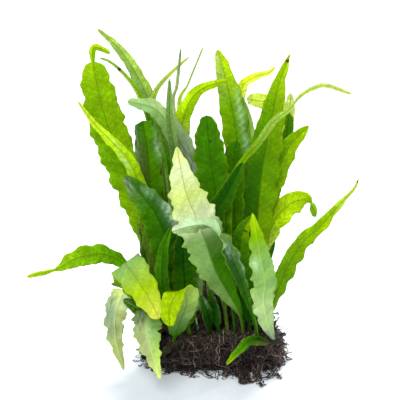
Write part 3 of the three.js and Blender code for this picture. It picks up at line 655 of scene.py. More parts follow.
def leaf_material(name, roughness, specular, thinness, mottle, vein):
    """Leaf tissue. The frond's tint is mottled by noise, crossed by slanted side veins and a net of
    small ones, and marked by the midrib and by brown spots. A third value of the blade place above 0
    is a painted bluish sheen on the bulges between side veins, and below 0 gives grey and dark
    streaks along the blade. Some light passes through, yellower than the tint."""
    leaf = Finish(name)
    maths, ramp, blend = leaf.maths, leaf.ramp, leaf.blend
    rib_tint = leaf.attribute("rib_tint")
    apart = leaf.tree.nodes.new("ShaderNodeSeparateXYZ")
    leaf.feed(apart, {"Vector": leaf.attribute("blade_place", "Vector")})
    along, across, sheen_and_streaks = (apart.outputs[axis] for axis in "XYZ")
    aside = maths("ABSOLUTE", across)

    grain = leaf.noise(LEAF_GRAIN, detail=6)
    colour = blend("MULTIPLY", 1.0, leaf.attribute("tint"), ramp(grain, 0.3, 0.7, 1 - mottle, 1 + mottle))
    patches = ramp(leaf.noise(LEAF_PATCHES, detail=3), 0.35, 0.7, 1 - 0.5 * mottle, 1 + 0.6 * mottle)
    colour = blend("MULTIPLY", 1.0, colour, patches)

    slanted = maths("ADD", along, maths("MULTIPLY", aside, -VEIN_SLANT))
    from_vein = maths("PINGPONG", slanted, VEIN_STEP / 2)
    side_veins = ramp(from_vein, 0.1, 0.55, 1.0, 0.0)
    net_sockets = {"Vector": leaf.place, "Scale": LEAF_NET}
    net = leaf.node("TexVoronoi", "Distance", net_sockets, feature="DISTANCE_TO_EDGE")
    net_veins = ramp(net, 0.03, 0.17, 1.0, 0.0)
    veins = maths("MAXIMUM", maths("MULTIPLY", side_veins, 0.9), maths("MULTIPLY", net_veins, 0.45))
    colour = blend("MIX", maths("MULTIPLY", veins, vein), colour, rib_tint)

    uneven = maths("MULTIPLY", leaf.noise(LEAF_PUCKERS, detail=5), 4.4)
    bulge = ramp(maths("ADD", maths("MULTIPLY", from_vein, 0.3), uneven), 2.0, 3.2, 0.35, 0.95)
    # Painted sheen: the bulges between side veins are painted a bluish white, and made a little less rough.
    sheen_share = maths("MULTIPLY", maths("MAXIMUM", sheen_and_streaks, 0.0), bulge)
    colour = blend("MIX", sheen_share, colour, (*leaf_colours["sheen_and_streaks"], 1))

    # Grey and dark streaks along the blade, where the third value of the blade place is below 0.
    streak_place = leaf.node("CombineXYZ", "Vector", {
        "X": maths("MULTIPLY", along, 0.12), "Y": maths("MULTIPLY", across, 1.5)})
    streaks = ramp(leaf.noise(1.0, detail=3, place=streak_place), 0.42, 0.58, 0.0, 1.0)
    streaked = blend("MIX", streaks, STREAK_GREY, STREAK_DARK)
    streak_share = maths("MAXIMUM", maths("MULTIPLY", sheen_and_streaks, -1.0), 0.0)
    colour = blend("MIX", streak_share, colour, streaked)
    colour = blend("MIX", ramp(aside, 0.15, 0.6, 0.85, 0.0), colour, rib_tint)

    marked = maths("ADD", leaf.attribute("mark", "Fac"), maths("MULTIPLY", grain, 0.9))
    colour = blend("MIX", ramp(marked, 1.2, 1.6, 0.92, 0.0), colour, SPOT_BROWN)

    puckers = maths("MULTIPLY", leaf.noise(LEAF_PUCKERS, detail=3), 0.8)
    relief = maths("SUBTRACT", puckers, maths("MULTIPLY", veins, 0.6))
    normal = leaf.bump(relief, strength=0.35)
    dulled = ramp(grain, 0.3, 0.7, roughness - 0.06, roughness + 0.08)
    leaf.coat(colour, maths("SUBTRACT", dulled, maths("MULTIPLY", sheen_share, 0.12)), specular, normal)
    yellower = blend("MULTIPLY", 1.0, colour, GLOW_YELLOW)
    glow = leaf.node("BsdfTranslucent", "BSDF", {"Color": yellower, "Normal": normal})
    surface = leaf.tree.nodes["Principled BSDF"].outputs["BSDF"]
    tissue = leaf.node("MixShader", "Shader", {"Fac": thinness, 1: surface, 2: glow})
    leaf.feed(leaf.tree.nodes["Material Output"], {"Surface": tissue})
    return leaf.material


satin_upper = leaf_material("leaf_satin_upper", roughness=0.42, specular=0.03, thinness=0.42,
                            mottle=0.17, vein=0.52)
glossy_upper = leaf_material("leaf_glossy_upper", roughness=0.33, specular=0.08, thinness=0.32,
                             mottle=0.17, vein=0.6)
pale_under = leaf_material("leaf_pale_under", roughness=0.5, specular=0.03, thinness=0.36,
                           mottle=0.08, vein=0.4)

frond_chance = np.random.default_rng(23)
column = np.linspace(-1, 1, 2 * HALF_COLUMNS + 1)
column = np.sign(column) * np.abs(column) ** COLUMN_CROWDING
ring_column = np.concatenate([column, column[::-1]])
is_upper = np.arange(len(ring_column)) < len(column)


def blade_side(across, share, along):
    """Directions across a blade: straight blends of the given ones, made square to the midrib."""
    given = unit(np.array(across, dtype=float))
    stands = np.linspace(0, 1, len(given)) if len(given) > 1 else [0]
    side = np.stack([np.interp(share, stands, axis) for axis in given.T], axis=-1)
    return unit(side - along * (side * along).sum(axis=-1, keepdims=True))


def sheen_and_streaks_of(sheen_and_streaks, blade, v):
    """The sum of patches (share of the blade, share of the half width, reach along, reach across,
    strength), each the strength times exp(-(distance over reach) ** 2): painted sheen where the sum is
    above 0, grey and dark streaks where it is below."""
    sheen_and_streak_sum = np.zeros(np.broadcast_shapes(blade.shape, v.shape))
    for place_along, place_across, reach_along, reach_across, strength in sheen_and_streaks:
        off = ((blade - place_along) / reach_along) ** 2 + ((v - place_across) / reach_across) ** 2
        sheen_and_streak_sum = sheen_and_streak_sum + strength * np.exp(-off)
    return sheen_and_streak_sum


def rib_tints(rib, upper_tint, under_tint):
    """Colours of the midrib on both sides: darker than the blade, or paler."""
    if rib == "pale":
        return mixed(upper_tint, np.array(leaf_colours["silver"]), 0.6), 1.25 * under_tint
    return {"soft": 0.55, "dark": 0.3}[rib] * upper_tint, [0.62, 0.62, 0.4] * under_tint


def frond(name, path, width, stalk, waves, ruffle, upper, under="sage", across=((1, 0, 0),),
          belly=0.45, blunt=0.7, tail=0.0, tail_width=0.0, scallop=0.07, gloss=False, rib="soft",
          sheen_and_streaks=(), marks=()):
    """Makes one frond. Its midrib is a smooth curve through the path. Half its width is a narrow
    stalk plus half the given width times sin(pi * share ** p) ** blunt, with p set so that the belly
    is widest, and its two rims scallop against each other with the waves. A point at a share of the
    half width stands off the midrib by the cupping and the ruffle of the rim, times that share to
    the power of the lift. Two thin skins lie on either side of that sheet, apart by the membrane
    and, near the middle, by the midrib, and further apart near the foot where the stalk is round.
    The list of patches gives the painted sheen, and grey and dark streaks where a strength is below
    0; marks are spots (share of the blade, share of the half width, radius in mm)."""
    blade_rows = np.linspace(0, 1, ROWS_PER_WAVE * waves + 1)
    stalk_rows = np.linspace(0, stalk, STALK_ROWS, endpoint=False)
    share = np.concatenate([stalk_rows, stalk + (1 - stalk) * blade_rows])
    centre, length = spaced_curve(path, share)
    along = unit(np.gradient(centre, share, axis=0))
    side = blade_side(across, share, along)
    up = np.cross(side, along)

    blade = np.clip((share - stalk) / (1 - stalk), 0, 1)
    body = np.minimum(1, blade / (1 - tail))
    arch = np.clip(np.sin(np.pi * body ** (np.log(0.5) / np.log(belly))), 0, 1)
    fullness = arch ** blunt
    tail_share = np.clip(1 - (1 - blade) / max(tail, 1e-6), 0, 1)
    tail_half = tail_width / 2 * np.sqrt(np.clip(np.sin(np.pi * tail_share), 0, 1))
    tip = np.clip(1 - (1 - share) * length / TIP_ROUNDING, 0, 1)
    rounding = np.sqrt(np.maximum(0.02, 1 - tip ** 2))
    stalk_half = np.maximum(STALK_RADIUS * (1 - blade), NARROWEST_HALF)
    half = (stalk_half + width / 2 * fullness + tail_half) * rounding

    v = ring_column
    inward = np.abs(v)
    rim_side = np.sign(v)
    rim_column = (v > 0).astype(int)
    phase = frond_chance.uniform(0, 2 * np.pi, 6)
    turn = np.pi * waves * blade[:, None]
    lobes = turn * LOBES_PER_WAVE + phase[:2]
    jags = JAG_DEPTH * np.cos(2 * turn * JAGS_PER_WAVE + phase[[1, 5]])
    crinkle = (np.abs(np.sin(lobes)) - LOBE_MEAN + jags)[:, rim_column]
    ripple = (jags - RIPPLE_DEPTH * np.cos(2 * lobes))[:, rim_column]
    half, fullness, blade, share, rounding = (
        values[:, None] for values in (half, fullness, blade, share, rounding))
    wave = np.cos(2 * turn)
    opened = np.minimum(1, OPENING * blade)
    x = v * half * (1 + opened * scallop * (inward ** 2 * crinkle - v * wave))
    rim_ruffle = rim_side * ruffle * np.sqrt(fullness) * (wave + RIPPLE_SHARE * ripple)
    sheet = inward ** SHEET_LIFT * (CUPPING * half * fullness - rim_ruffle)
    vein_turn = np.pi * (share * length - VEIN_SLANT * np.abs(x)) / VEIN_STEP
    quilted = QUILTING * opened * np.minimum(1, half / QUILTED_HALF) * (1 - inward ** 4)
    sheet = sheet + quilted * np.abs(np.sin(vein_turn))

    rib_radius = STALK_RADIUS * (1 - blade) + RIB_RADIUS * blade
    ridge = RIB_FIRMNESS * rib_radius * rounding - MEMBRANE
    stalk_section = (1 - opened) * np.sqrt(np.maximum(0, 1 - inward ** 2))
    blade_section = opened * np.exp(-(x / RIB_REACH) ** 2)
    above = MEMBRANE + ridge * (stalk_section + UPPER_RIB_SHARE * blade_section)
    below = MEMBRANE + ridge * (stalk_section + blade_section)
    height = sheet + np.where(is_upper, above, -below)
    rings = centre[:, None] + side[:, None] * x[..., None] + up[:, None] * height[..., None]

    flow = share * length
    upper_tint = blend_of(upper, blade, v)
    under_tint = blend_of(under, blade, v)
    mottle = (np.sin(0.35 * flow + phase[2] + 0.4 * x) + np.sin(0.17 * flow - 0.5 * x + phase[3])
              + np.sin(0.9 * flow + 0.8 * x + phase[4]))
    tint = np.where(is_upper[:, None], upper_tint, under_tint) * (1 + TINT_MOTTLE * mottle[..., None])
    # Painted highlight: the rims are painted paler, towards lime, as if light caught them.
    rim_highlight_share = (RIM_HIGHLIGHT * opened * inward ** 8)[..., None]
    tint = mixed(tint, np.array(leaf_colours["lime"]), rim_highlight_share)
    foot = FOOT_BROWNNESS * np.clip(1 - flow / BROWN_FOOT, 0, 1)[..., None]
    tint = mixed(tint, np.array(leaf_colours["bark"]), foot)
    rib_tint = np.where(is_upper[:, None], *rib_tints(rib, upper_tint, under_tint))
    rib_tint = mixed(rib_tint, np.array(leaf_colours["bark"]), foot)

    marking = np.full(x.shape, FAR_FROM_MARKS)
    for mark_share, mark_across, mark_radius in marks:
        mark_flow = (stalk + (1 - stalk) * mark_share) * length
        mark_x = mark_across * np.interp(mark_share, blade[:, 0], half[:, 0])
        marking = np.minimum(marking, np.hypot(flow - mark_flow, x - mark_x) / mark_radius)
    place = np.stack(np.broadcast_arrays(flow, x, sheen_and_streaks_of(sheen_and_streaks, blade, v)), axis=-1)

    mesh = skin_mesh(name + "_blade", rings[None])
    add_colours(mesh, "tint", np.clip(tint, 0, 1)[None])
    add_colours(mesh, "rib_tint", np.clip(rib_tint, 0, 1)[None])
    kept_places = mesh.attributes.new("blade_place", "FLOAT_VECTOR", "POINT")
    kept_places.data.foreach_set("vector", with_poles(place[None]).ravel())
    kept_marks = mesh.attributes.new("mark", "FLOAT", "POINT")
    kept_marks.data.foreach_set("value", with_poles(marking[None, ..., None]).ravel())
    side_of_quads = np.tile(np.where(is_upper, 0, 1), len(centre) - 1)
    side_of_fans = np.ones(2 * len(ring_column), dtype=int)
    mesh.polygons.foreach_set("material_index", np.concatenate([side_of_quads, side_of_fans]))
    add_piece(mesh, name, [glossy_upper if gloss else satin_upper, pale_under])


# The colours given to each frond below are its own greens, yellows and silvers, and also painted light and
# shade: darker where a part lies in shade, and silver or ivory where light falls on it or glances off it.
# Fronds of the front rhizome, from left to right.
frond("frond_front_01",
      [(-25, -26, 20), (-20, -34, 40), (-15, -39, 55), (-17, -44, 66), (-22, -49, 64), (-26, -51, 56),
       (-26, -51, 44)],
      width=15, stalk=0.12, waves=6, ruffle=0.9, blunt=0.4,
      across=[(-0.9, 0, -0.4), (-0.6, 0.2, -0.8), (-0.9, 0, 0.2)],
      upper="leaf meadow spring lime lime", under="fern sage chartreuse lime lemon")
frond("frond_front_02",
      [(-19, -24, 22), (-30, -35, 62), (-31, -40, 83), (-29, -42, 97), (-25, -43, 109)],
      width=8, stalk=0.15, waves=5, ruffle=0.4,
      upper="leaf pine fern fern pine | fern fern pine pine leaf", under="moss sage")
frond("frond_front_03",
      [(-13, -23, 22), (-16, -29, 54), (-17, -33, 80), (-18, -35, 106)],
      width=15, stalk=0.15, waves=6, ruffle=0.9, blunt=0.5,
      upper="leaf fern ink forest | leaf pine forest forest", under="moss", rib="dark")
frond("frond_front_04",
      [(-7, -22, 23), (-14, -24, 59), (-25, -27, 88), (-36, -29, 115), (-55, -28, 139)],
      width=24, stalk=0.15, waves=8, ruffle=1.4, blunt=0.6, across=[(1, 0.12, 0.2)],
      upper="ink pine pine fern moss | mist sage forest pine fern", under="moss sage",
      sheen_and_streaks=[(0.85, 0.56, 0.05, 0.3, 0.35), (0.66, 0.85, 0.08, 0.35, 0.9), (0.96, -0.5, 0.06, 0.9, -0.6)])
frond("frond_front_05",
      [(1, -22, 23), (-1, -30, 41), (-3, -34, 51), (-6, -37, 60)],
      width=6, stalk=0.3, waves=3, ruffle=0.4, across=[(1, 0.5, 0)],
      upper="ink ink forest pine", under="moss", sheen_and_streaks=[(0.75, 0.5, 0.15, 0.3, 0.35)])
frond("frond_front_06",
      [(7, -23, 23), (5, -27, 38), (3, -26, 48), (0, -24, 59)],
      width=6, stalk=0.3, waves=3, ruffle=0.4, across=[(1, -0.5, 0)],
      upper="ink ink ink fern | ink ink ink olive", under="moss", gloss=True)
frond("frond_front_07",
      [(13, -23, 23), (9, -25, 59), (6, -24, 94), (4, -20, 124), (0, -17, 153), (-2, -15, 176)],
      width=21, stalk=0.15, waves=10, ruffle=1.3, belly=0.68, blunt=0.45, across=[(1, -0.25, 0)],
      upper="olive fern fern fern fern", under="moss sage", marks=[(0.87, 0.12, 1.0)])
frond("frond_front_08",
      [(18, -21, 24), (15, -28, 50), (8, -30, 77), (3, -31, 98), (3, -31, 114), (12, -31, 130),
       (21, -31, 149)],
      width=14, stalk=0.3, waves=5, ruffle=0.8, belly=0.5, blunt=0.6, across=[(1, 0.3, 0)],
      upper="pine forest forest forest forest | forest forest pine pine fern", under="moss")
frond("frond_front_09",
      [(24, -23, 23), (20, -31, 45), (11, -35, 63), (3, -39, 80), (-3, -43, 100), (-10, -45, 119),
       (-16, -45, 136), (-21, -42, 162)],
      width=26, stalk=0.14, waves=11, ruffle=0.8, belly=0.55, blunt=0.9, scallop=0.09,
      across=[(-1, -0.2, 0)],
      upper="grass grass spring",
      under="pine fern fern fern moss ivory cream ivory cream"
            " | olive moss moss sage sage ivory cream ivory cream")
frond("frond_front_10",
      [(28, -23, 22), (25, -21, 52), (21, -22, 71), (20, -22, 86), (22, -22, 100), (28, -21, 110)],
      width=15, stalk=0.15, waves=6, ruffle=1.0,
      upper="forest pine pine fern leaf | forest pine fern leaf lime", under="moss",
      marks=[(0.85, 0.19, 0.9), (0.85, 0.5, 0.8)])
frond("frond_front_11",
      [(33, -23, 21), (30, -32, 40), (25, -37, 57), (18, -45, 80), (11, -53, 98), (4, -59, 111),
       (-3, -62, 117), (-13, -62, 116), (-24, -60, 112)],
      width=13, stalk=0.15, waves=9, ruffle=1.5, belly=0.72, blunt=0.6,
      across=[(1, 0, 0.3), (1, 0.2, 0), (0.9, 0.5, 0), (0.2, 0.8, -0.5), (0.1, 0, -1)],
      upper="pine forest forest pine | leaf pine moss fern",
      under="silver silver silver mist ivory | fern fern fern fern silver", gloss=True,
      sheen_and_streaks=[(0.57, -0.1, 0.05, 0.4, 0.5), (0.4, 0.8, 0.1, 0.15, 0.4), (0.85, -0.4, 0.1, 0.6, 0.7)])
frond("frond_front_12",
      [(42, -24, 19), (32, -35, 27), (25, -42, 29), (19, -47, 25), (11, -49, 16)],
      width=5, stalk=0.1, waves=3, ruffle=0.3, across=[(0, 0.5, 0.8)],
      upper="olive olive fern leaf lime | olive ink fern leaf spring")
frond("frond_front_13",
      [(46, -22, 18), (39, -33, 36), (35, -41, 58), (36, -44, 71), (34, -46, 82), (31, -47, 98),
       (27, -45, 119)],
      width=15, stalk=0.08, waves=8, ruffle=1.2, belly=0.52, blunt=0.9, scallop=0.1,
      across=[(-1, -0.3, 0)],
      upper="grass grass", under="ash silver silver sage sage meadow lime", rib="pale",
      sheen_and_streaks=[(0.66, 0.53, 0.05, 0.3, 0.5)])

# Two short fronds that stand in the mat's left end.
frond("frond_left_01",
      [(-42, -15, 13), (-45, -18, 33), (-48, -20, 43), (-53, -22, 48), (-58, -24, 52)],
      width=10, stalk=0.2, waves=3, ruffle=0.6, across=[(0.3, 0.6, 0.7)],
      upper="forest pine fern", under="moss", rib="pale")
frond("frond_left_02",
      [(-42, 0, 15), (-50, -2, 49), (-58, -6, 55), (-67, -8, 57)],
      width=6, stalk=0.2, waves=2, ruffle=0.5, across=[(0.2, 0.6, 0.7)],
      upper="forest pine moss", under="moss mist")

# Fronds of the middle rhizome, from left to right.
frond("frond_middle_01",
      [(-40, -6, 19), (-54, -9, 52), (-62, -22, 46), (-63, -33, 30), (-57, -42, 9)],
      width=14, stalk=0.22, waves=7, ruffle=1.3, belly=0.36, blunt=0.9, scallop=0.12,
      across=[(1, 0, 0), (0.9, 0.3, 0)],
      upper="grass grass", under="ivory cream ash dusty dusty | ivory ivory dusty dusty dusty",
      rib="pale",
      sheen_and_streaks=[(0.35, 0.4, 0.08, 0.4, 0.5), (0.4, -0.7, 0.12, 0.45, -0.55), (0.62, 0.0, 0.08, 0.9, -0.3)])
frond("frond_middle_02",
      [(-37, -8, 20), (-39, -22, 44), (-41, -36, 44), (-40, -50, 34), (-32, -67, 14)],
      width=17, stalk=0.25, waves=6, ruffle=1.1, belly=0.36, blunt=0.95, scallop=0.12,
      upper="grass leaf", under="olive moss dusty dusty cream | sage sage sage chartreuse cream",
      rib="pale", sheen_and_streaks=[(0.35, -0.55, 0.12, 0.45, -0.6), (0.5, 0.05, 0.2, 0.2, 0.5)])
frond("frond_middle_03",
      [(-33, -5, 22), (-48, -19, 57), (-56, -28, 79), (-49, -40, 75), (-39, -47, 61), (-33, -51, 49)],
      width=21, stalk=0.25, waves=6, ruffle=0.6, belly=0.5, blunt=0.5,
      across=[(0.8, 0, 0.6), (0.6, 0, 0.75), (0.8, 0, -0.5)],
      upper="spring lime", under="fern meadow sage lime gold | sage sage sage lime gold")
frond("frond_middle_04",
      [(-28, -5, 23), (-41, -2, 50), (-58, 0, 68), (-72, -2, 76), (-85, -6, 76), (-94, -8, 73),
       (-104, -10, 68), (-123, -13, 64)],
      width=13, stalk=0.25, waves=8, ruffle=0.9, belly=0.68, blunt=0.85, tail=0.2, tail_width=2.4,
      across=[(0.2, 0.6, 0.7)],
      upper="leaf leaf grass meadow lime | leaf leaf grass spring lime")
frond("frond_middle_05",
      [(-23, -5, 23), (-35, -12, 54), (-40, -14, 91), (-45, -14, 122), (-52, -12, 143), (-64, -9, 157),
       (-75, -7, 168), (-86, -5, 183)],
      width=9, stalk=0.2, waves=9, ruffle=0.9, blunt=1, across=[(1, 0, 0), (0.8, 0, 0.5)],
      upper="olive olive spring lemon butter", under="sage lime",
      sheen_and_streaks=[(0.65, -0.5, 0.05, 0.3, 0.4), (0.75, 0.3, 0.04, 0.25, 0.35)])
frond("frond_middle_06",
      [(-18, -5, 23), (-32, -20, 57), (-36, -24, 79), (-39, -25, 93), (-42, -24, 105)],
      width=8, stalk=0.2, waves=5, ruffle=0.5, across=[(1, -0.4, 0)],
      upper="forest forest olive fern", under="moss")
frond("frond_middle_07",
      [(-8, -4, 23), (-35, -4, 55), (-39, -4, 87), (-40, -4, 122), (-41, -4, 149), (-44, -5, 170)],
      width=17, stalk=0.2, waves=7, ruffle=1.1, belly=0.6, blunt=0.2, across=[(1, 0.3, 0)],
      upper="pine pine olive olive fern | pine fern fern leaf leaf", under="moss",
      sheen_and_streaks=[(0.7, -0.95, 0.3, 0.35, -0.6), (0.85, 0.95, 0.06, 0.3, 0.6)])
frond("frond_middle_08",
      [(-3, -3, 24), (-25, -6, 81), (-28, -9, 117), (-31, -9, 144)],
      width=4, stalk=0.3, waves=4, ruffle=0.3, across=[(1, 0.5, 0)],
      upper="pine pine olive | sage sage moss")
frond("frond_middle_09",
      [(2, -3, 24), (-3, 8, 76), (-7, 8, 112), (-15, 5, 143), (-26, 4, 164), (-37, 2, 177),
       (-54, 0, 182)],
      width=14, stalk=0.3, waves=8, ruffle=0.8, blunt=0.45,
      across=[(-1, 0, 0), (-0.6, 0, -0.7), (-0.2, 0, -1)],
      upper="leaf", under="mist ash ash silver silver | silver ash ash sage mist",
      sheen_and_streaks=[(0.5, 0.3, 0.2, 0.9, -0.75)])
frond("frond_middle_10",
      [(7, -3, 24), (8, 1, 71), (8, 2, 114), (11, 1, 134), (15, 0, 153)],
      width=11, stalk=0.3, waves=5, ruffle=0.6, belly=0.6, blunt=0.55, across=[(1, -0.5, 0)],
      upper="pine leaf", under="moss")
frond("frond_middle_11",
      [(12, -2, 24), (10, -5, 60), (8, -9, 95), (6, -12, 122), (6, -11, 148)],
      width=11, stalk=0.2, waves=6, ruffle=1.0, across=[(1, 0.3, 0)],
      upper="forest ink forest pine", under="moss")
frond("frond_middle_12",
      [(17, -2, 24), (14, -8, 59), (14, -13, 105), (15, -14, 133), (24, -13, 148), (32, -12, 157),
       (41, -10, 170), (52, -9, 179), (59, -7, 187), (68, -5, 192), (77, -4, 193), (93, -2, 187)],
      width=4, stalk=0.2, waves=9, ruffle=0.5, belly=0.8, blunt=1.1, tail=0.25, tail_width=2,
      across=[(1, 0, 0), (0.7, 0, -0.7), (0, 0, -1)],
      upper="meadow meadow meadow chartreuse cream")
frond("frond_middle_13",
      [(22, -1, 24), (19, -4, 73), (17, -6, 106), (16, -8, 130), (16, -8, 149), (18, -9, 158)],
      width=13, stalk=0.3, waves=5, ruffle=0.6, belly=0.68, blunt=0.5,
      upper="grass leaf leaf leaf fern | grass leaf leaf fern fern", under="moss")
frond("frond_middle_14",
      [(27, -1, 24), (32, 0, 49), (32, 1, 89), (34, 2, 124), (37, 3, 148), (41, 4, 170), (45, 4, 191),
       (52, 1, 213)],
      width=23, stalk=0.15, waves=9, ruffle=1.5, blunt=1, across=[(1, 0.25, 0)],
      upper="pine pine fern grass lime | grass meadow grass meadow lemon", marks=[(0.97, 0.08, 1.3)])
frond("frond_middle_15",
      [(32, 0, 22), (35, 8, 50), (34, 15, 67), (39, 15, 81), (43, 15, 92), (49, 14, 101), (56, 13, 108),
       (63, 12, 111), (69, 11, 109), (73, 10, 99)],
      width=16, stalk=0.25, waves=6, ruffle=0.8, belly=0.66, blunt=0.55,
      across=[(1, 0, 0), (0.7, 0, -0.7), (0.5, 0.3, -0.8)],
      upper="lime lime lemon lemon spring | cream cream lemon lemon lemon", under="lime meadow")
frond("frond_middle_16",
      [(37, 1, 21), (38, 7, 61), (38, 9, 90), (41, 9, 115), (48, 9, 137), (55, 9, 151), (66, 6, 164)],
      width=13, stalk=0.2, waves=7, ruffle=0.9, belly=0.68, across=[(1, 0, 0), (0.8, 0, -0.5)],
      upper="grass grass grass grass meadow | grass meadow meadow meadow lime")
frond("frond_middle_17",
      [(41, 1, 19), (42, -8, 36), (46, -14, 55), (54, -17, 77), (63, -17, 92), (72, -15, 99),
       (85, -11, 113), (96, -7, 124), (99, -6, 131)],
      width=12, stalk=0.12, waves=8, ruffle=1.1, belly=0.4, blunt=1.5, across=[(1, 0.3, 0)],
      upper="leaf grass meadow spring butter | meadow grass meadow lime cream",
      marks=[(0.98, -0.24, 0.8)])

# Fronds of the inner rhizome, from left to right.
frond("frond_inner_01",
      [(-25, 13, 20), (-31, 22, 93), (-40, 24, 157), (-47, 22, 181), (-56, 19, 195), (-66, 17, 205),
       (-74, 16, 208)],
      width=2.5, stalk=0.4, waves=3, ruffle=0.2, across=[(1, 0, 0.4)],
      upper="grass grass leaf chartreuse chartreuse | grass grass fern spring silver",
      marks=[(0.87, 0.0, 1.9)])
frond("frond_inner_02",
      [(-20, 13, 22), (-30, 8, 46), (-39, 8, 79), (-50, 7, 114), (-62, 6, 147), (-70, 4, 174),
       (-74, 2, 194), (-76, 0, 211), (-74, -1, 218), (-64, -2, 214)],
      width=23, stalk=0.2, waves=10, ruffle=1.3, belly=0.66, blunt=0.25, tail=0.13, tail_width=3.5,
      across=8 * [(1, 0, 0)] + [(0.2, 0.2, -1)],
      upper="grass meadow grass meadow lemon | grass meadow meadow meadow spring",
      marks=[(0.93, 0.3, 0.6), (0.96, -0.2, 0.5)])
frond("frond_inner_03",
      [(-15, 13, 22), (-31, 28, 91), (-40, 32, 148), (-38, 32, 177), (-30, 30, 191), (-13, 27, 207)],
      width=3, stalk=0.4, waves=3, ruffle=0.3, across=[(1, 0, 0), (0.8, 0, -0.5)],
      upper="sage sage chartreuse cream")
frond("frond_inner_04",
      [(-10, 14, 23), (-20, 34, 82), (-32, 38, 139), (-43, 38, 178), (-58, 34, 207), (-75, 30, 225)],
      width=10, stalk=0.3, waves=7, ruffle=0.7, across=[(1, 0, 0), (0.8, 0, 0.5)],
      upper="fern moss sage sage chartreuse | fern fern moss chartreuse chartreuse")
frond("frond_inner_05",
      [(-5, 14, 24), (-24, 12, 60), (-29, 6, 98), (-32, 3, 127), (-35, 2, 154), (-38, 0, 171)],
      width=11, stalk=0.3, waves=6, ruffle=0.6, belly=0.55, across=[(1, -0.35, 0)],
      upper="grass grass leaf leaf", under="moss", sheen_and_streaks=[(0.85, 0.1, 0.1, 0.5, 0.7)])
frond("frond_inner_06",
      [(0, 14, 23), (-20, 16, 80), (-22, 1, 135), (-26, -7, 172), (-26, -9, 199)],
      width=6, stalk=0.4, waves=4, ruffle=0.4, across=[(1, 0.5, 0)],
      upper="moss moss moss sage | moss moss sage sage", under="moss")
frond("frond_inner_07",
      [(5, 15, 24), (-13, 26, 106), (-24, 28, 170), (-22, 27, 187), (-19, 26, 213)],
      width=2, stalk=0.4, waves=3, ruffle=0.2, across=[(1, 0.6, 0)],
      upper="silver ivory ivory sage", under="moss")
frond("frond_inner_08",
      [(10, 14, 23), (-10, 14, 103), (-19, 11, 149), (-16, 7, 174), (-6, 4, 189), (12, 0, 196)],
      width=11, stalk=0.35, waves=6, ruffle=0.8, across=[(1, 0, 0), (0.7, 0, -0.7)],
      upper="meadow meadow lemon lemon | cream cream spring lime")
frond("frond_inner_09",
      [(14, 14, 24), (-6, 22, 107), (-20, 22, 170), (-14, 20, 190), (-4, 18, 215)],
      width=4, stalk=0.4, waves=3, ruffle=0.3, tail=0.25, across=[(1, -0.6, 0)],
      upper="sage chartreuse chartreuse")
frond("frond_inner_10",
      [(19, 14, 23), (21, 12, 82), (22, 11, 121), (18, 10, 157), (12, 9, 189), (5, 7, 215)],
      width=18, stalk=0.2, waves=8, ruffle=1.2, belly=0.55, blunt=0.6, across=[(1, 0.25, 0)],
      upper="leaf grass grass grass chartreuse | leaf sage leaf grass lemon", under="silver",
      sheen_and_streaks=[(0.54, 0.57, 0.07, 0.25, 0.5), (0.68, 0.53, 0.06, 0.25, 0.45), (0.76, 0.67, 0.05, 0.25, 0.4)])
frond("frond_inner_11",
      [(24, 14, 22), (28, 18, 87), (28, 17, 134), (27, 16, 160), (22, 14, 182)],
      width=9, stalk=0.3, waves=5, ruffle=0.6, across=[(1, -0.3, 0)],
      upper="mist mist sage", under="mist")
frond("frond_inner_12",
      [(28, 14, 21), (29, 26, 92), (17, 26, 156), (22, 24, 185), (26, 23, 191), (33, 22, 195),
       (40, 21, 197), (44, 20, 201)],
      width=8, stalk=0.4, waves=5, ruffle=0.5, across=[(1, 0, 0), (0.7, 0, -0.7), (0.5, 0, -0.9)],
      upper="spring lemon butter | spring cream butter", under="chartreuse")
frond("frond_inner_13",
      [(32, 14, 20), (37, 22, 93), (44, 17, 144), (46, 17, 168), (45, 17, 177), (38, 17, 178),
       (31, 17, 179), (25, 17, 180)],
      width=10, stalk=0.3, waves=9, ruffle=0.6, belly=0.85, blunt=0.35,
      across=[(1, 0.4, 0), (1, 0.3, 0), (1, 0.2, 0), (1, 0, 0.3), (0.4, 0, 0.9), (0, 0, 1)],
      upper="spring chartreuse chartreuse", under="butter", marks=[(0.9, 0.0, 1.1), (0.8, 0.4, 0.8)])

# Fronds of the back rhizome, from left to right. The first seven lean back.
frond("frond_back_01",
      [(-28, 24, 14), (-31, 36, 35), (-37, 52, 68), (-41, 70, 97), (-46, 86, 111)],
      width=20, stalk=0.2, waves=6, ruffle=1.3, across=[(-1, 0.3, 0.4)],
      upper="pine leaf spring", under="moss sage")
frond("frond_back_02",
      [(-20, 24, 15), (-21, 35, 36), (-23, 50, 84), (-24, 60, 126), (-26, 66, 152)],
      width=18, stalk=0.1, waves=6, ruffle=1.2, belly=0.36, across=[(-1, -0.4, 0)],
      upper="forest pine leaf", under="moss sage", gloss=True)
frond("frond_back_03",
      [(-11, 25, 17), (-11, 40, 34), (-9, 58, 66), (-8, 78, 90), (-8, 98, 96)],
      width=21, stalk=0.2, waves=6, ruffle=1.4, across=[(-1, 0, -0.3)],
      upper="pine leaf grass", under="moss sage")
frond("frond_back_04",
      [(-2, 25, 17), (-2, 36, 43), (1, 46, 85), (2, 54, 124), (2, 56, 149)],
      width=17, stalk=0.1, waves=6, ruffle=1.2, belly=0.36, across=[(-1, 0.4, 0)],
      upper="moss moss fern", under="moss")
frond("frond_back_05",
      [(7, 25, 17), (9, 40, 34), (15, 60, 69), (20, 76, 95), (25, 90, 106)],
      width=19, stalk=0.2, waves=6, ruffle=1.3, across=[(-1, 0, 0.3)],
      upper="leaf spring lime", marks=[(0.94, 0.2, 1.2)])
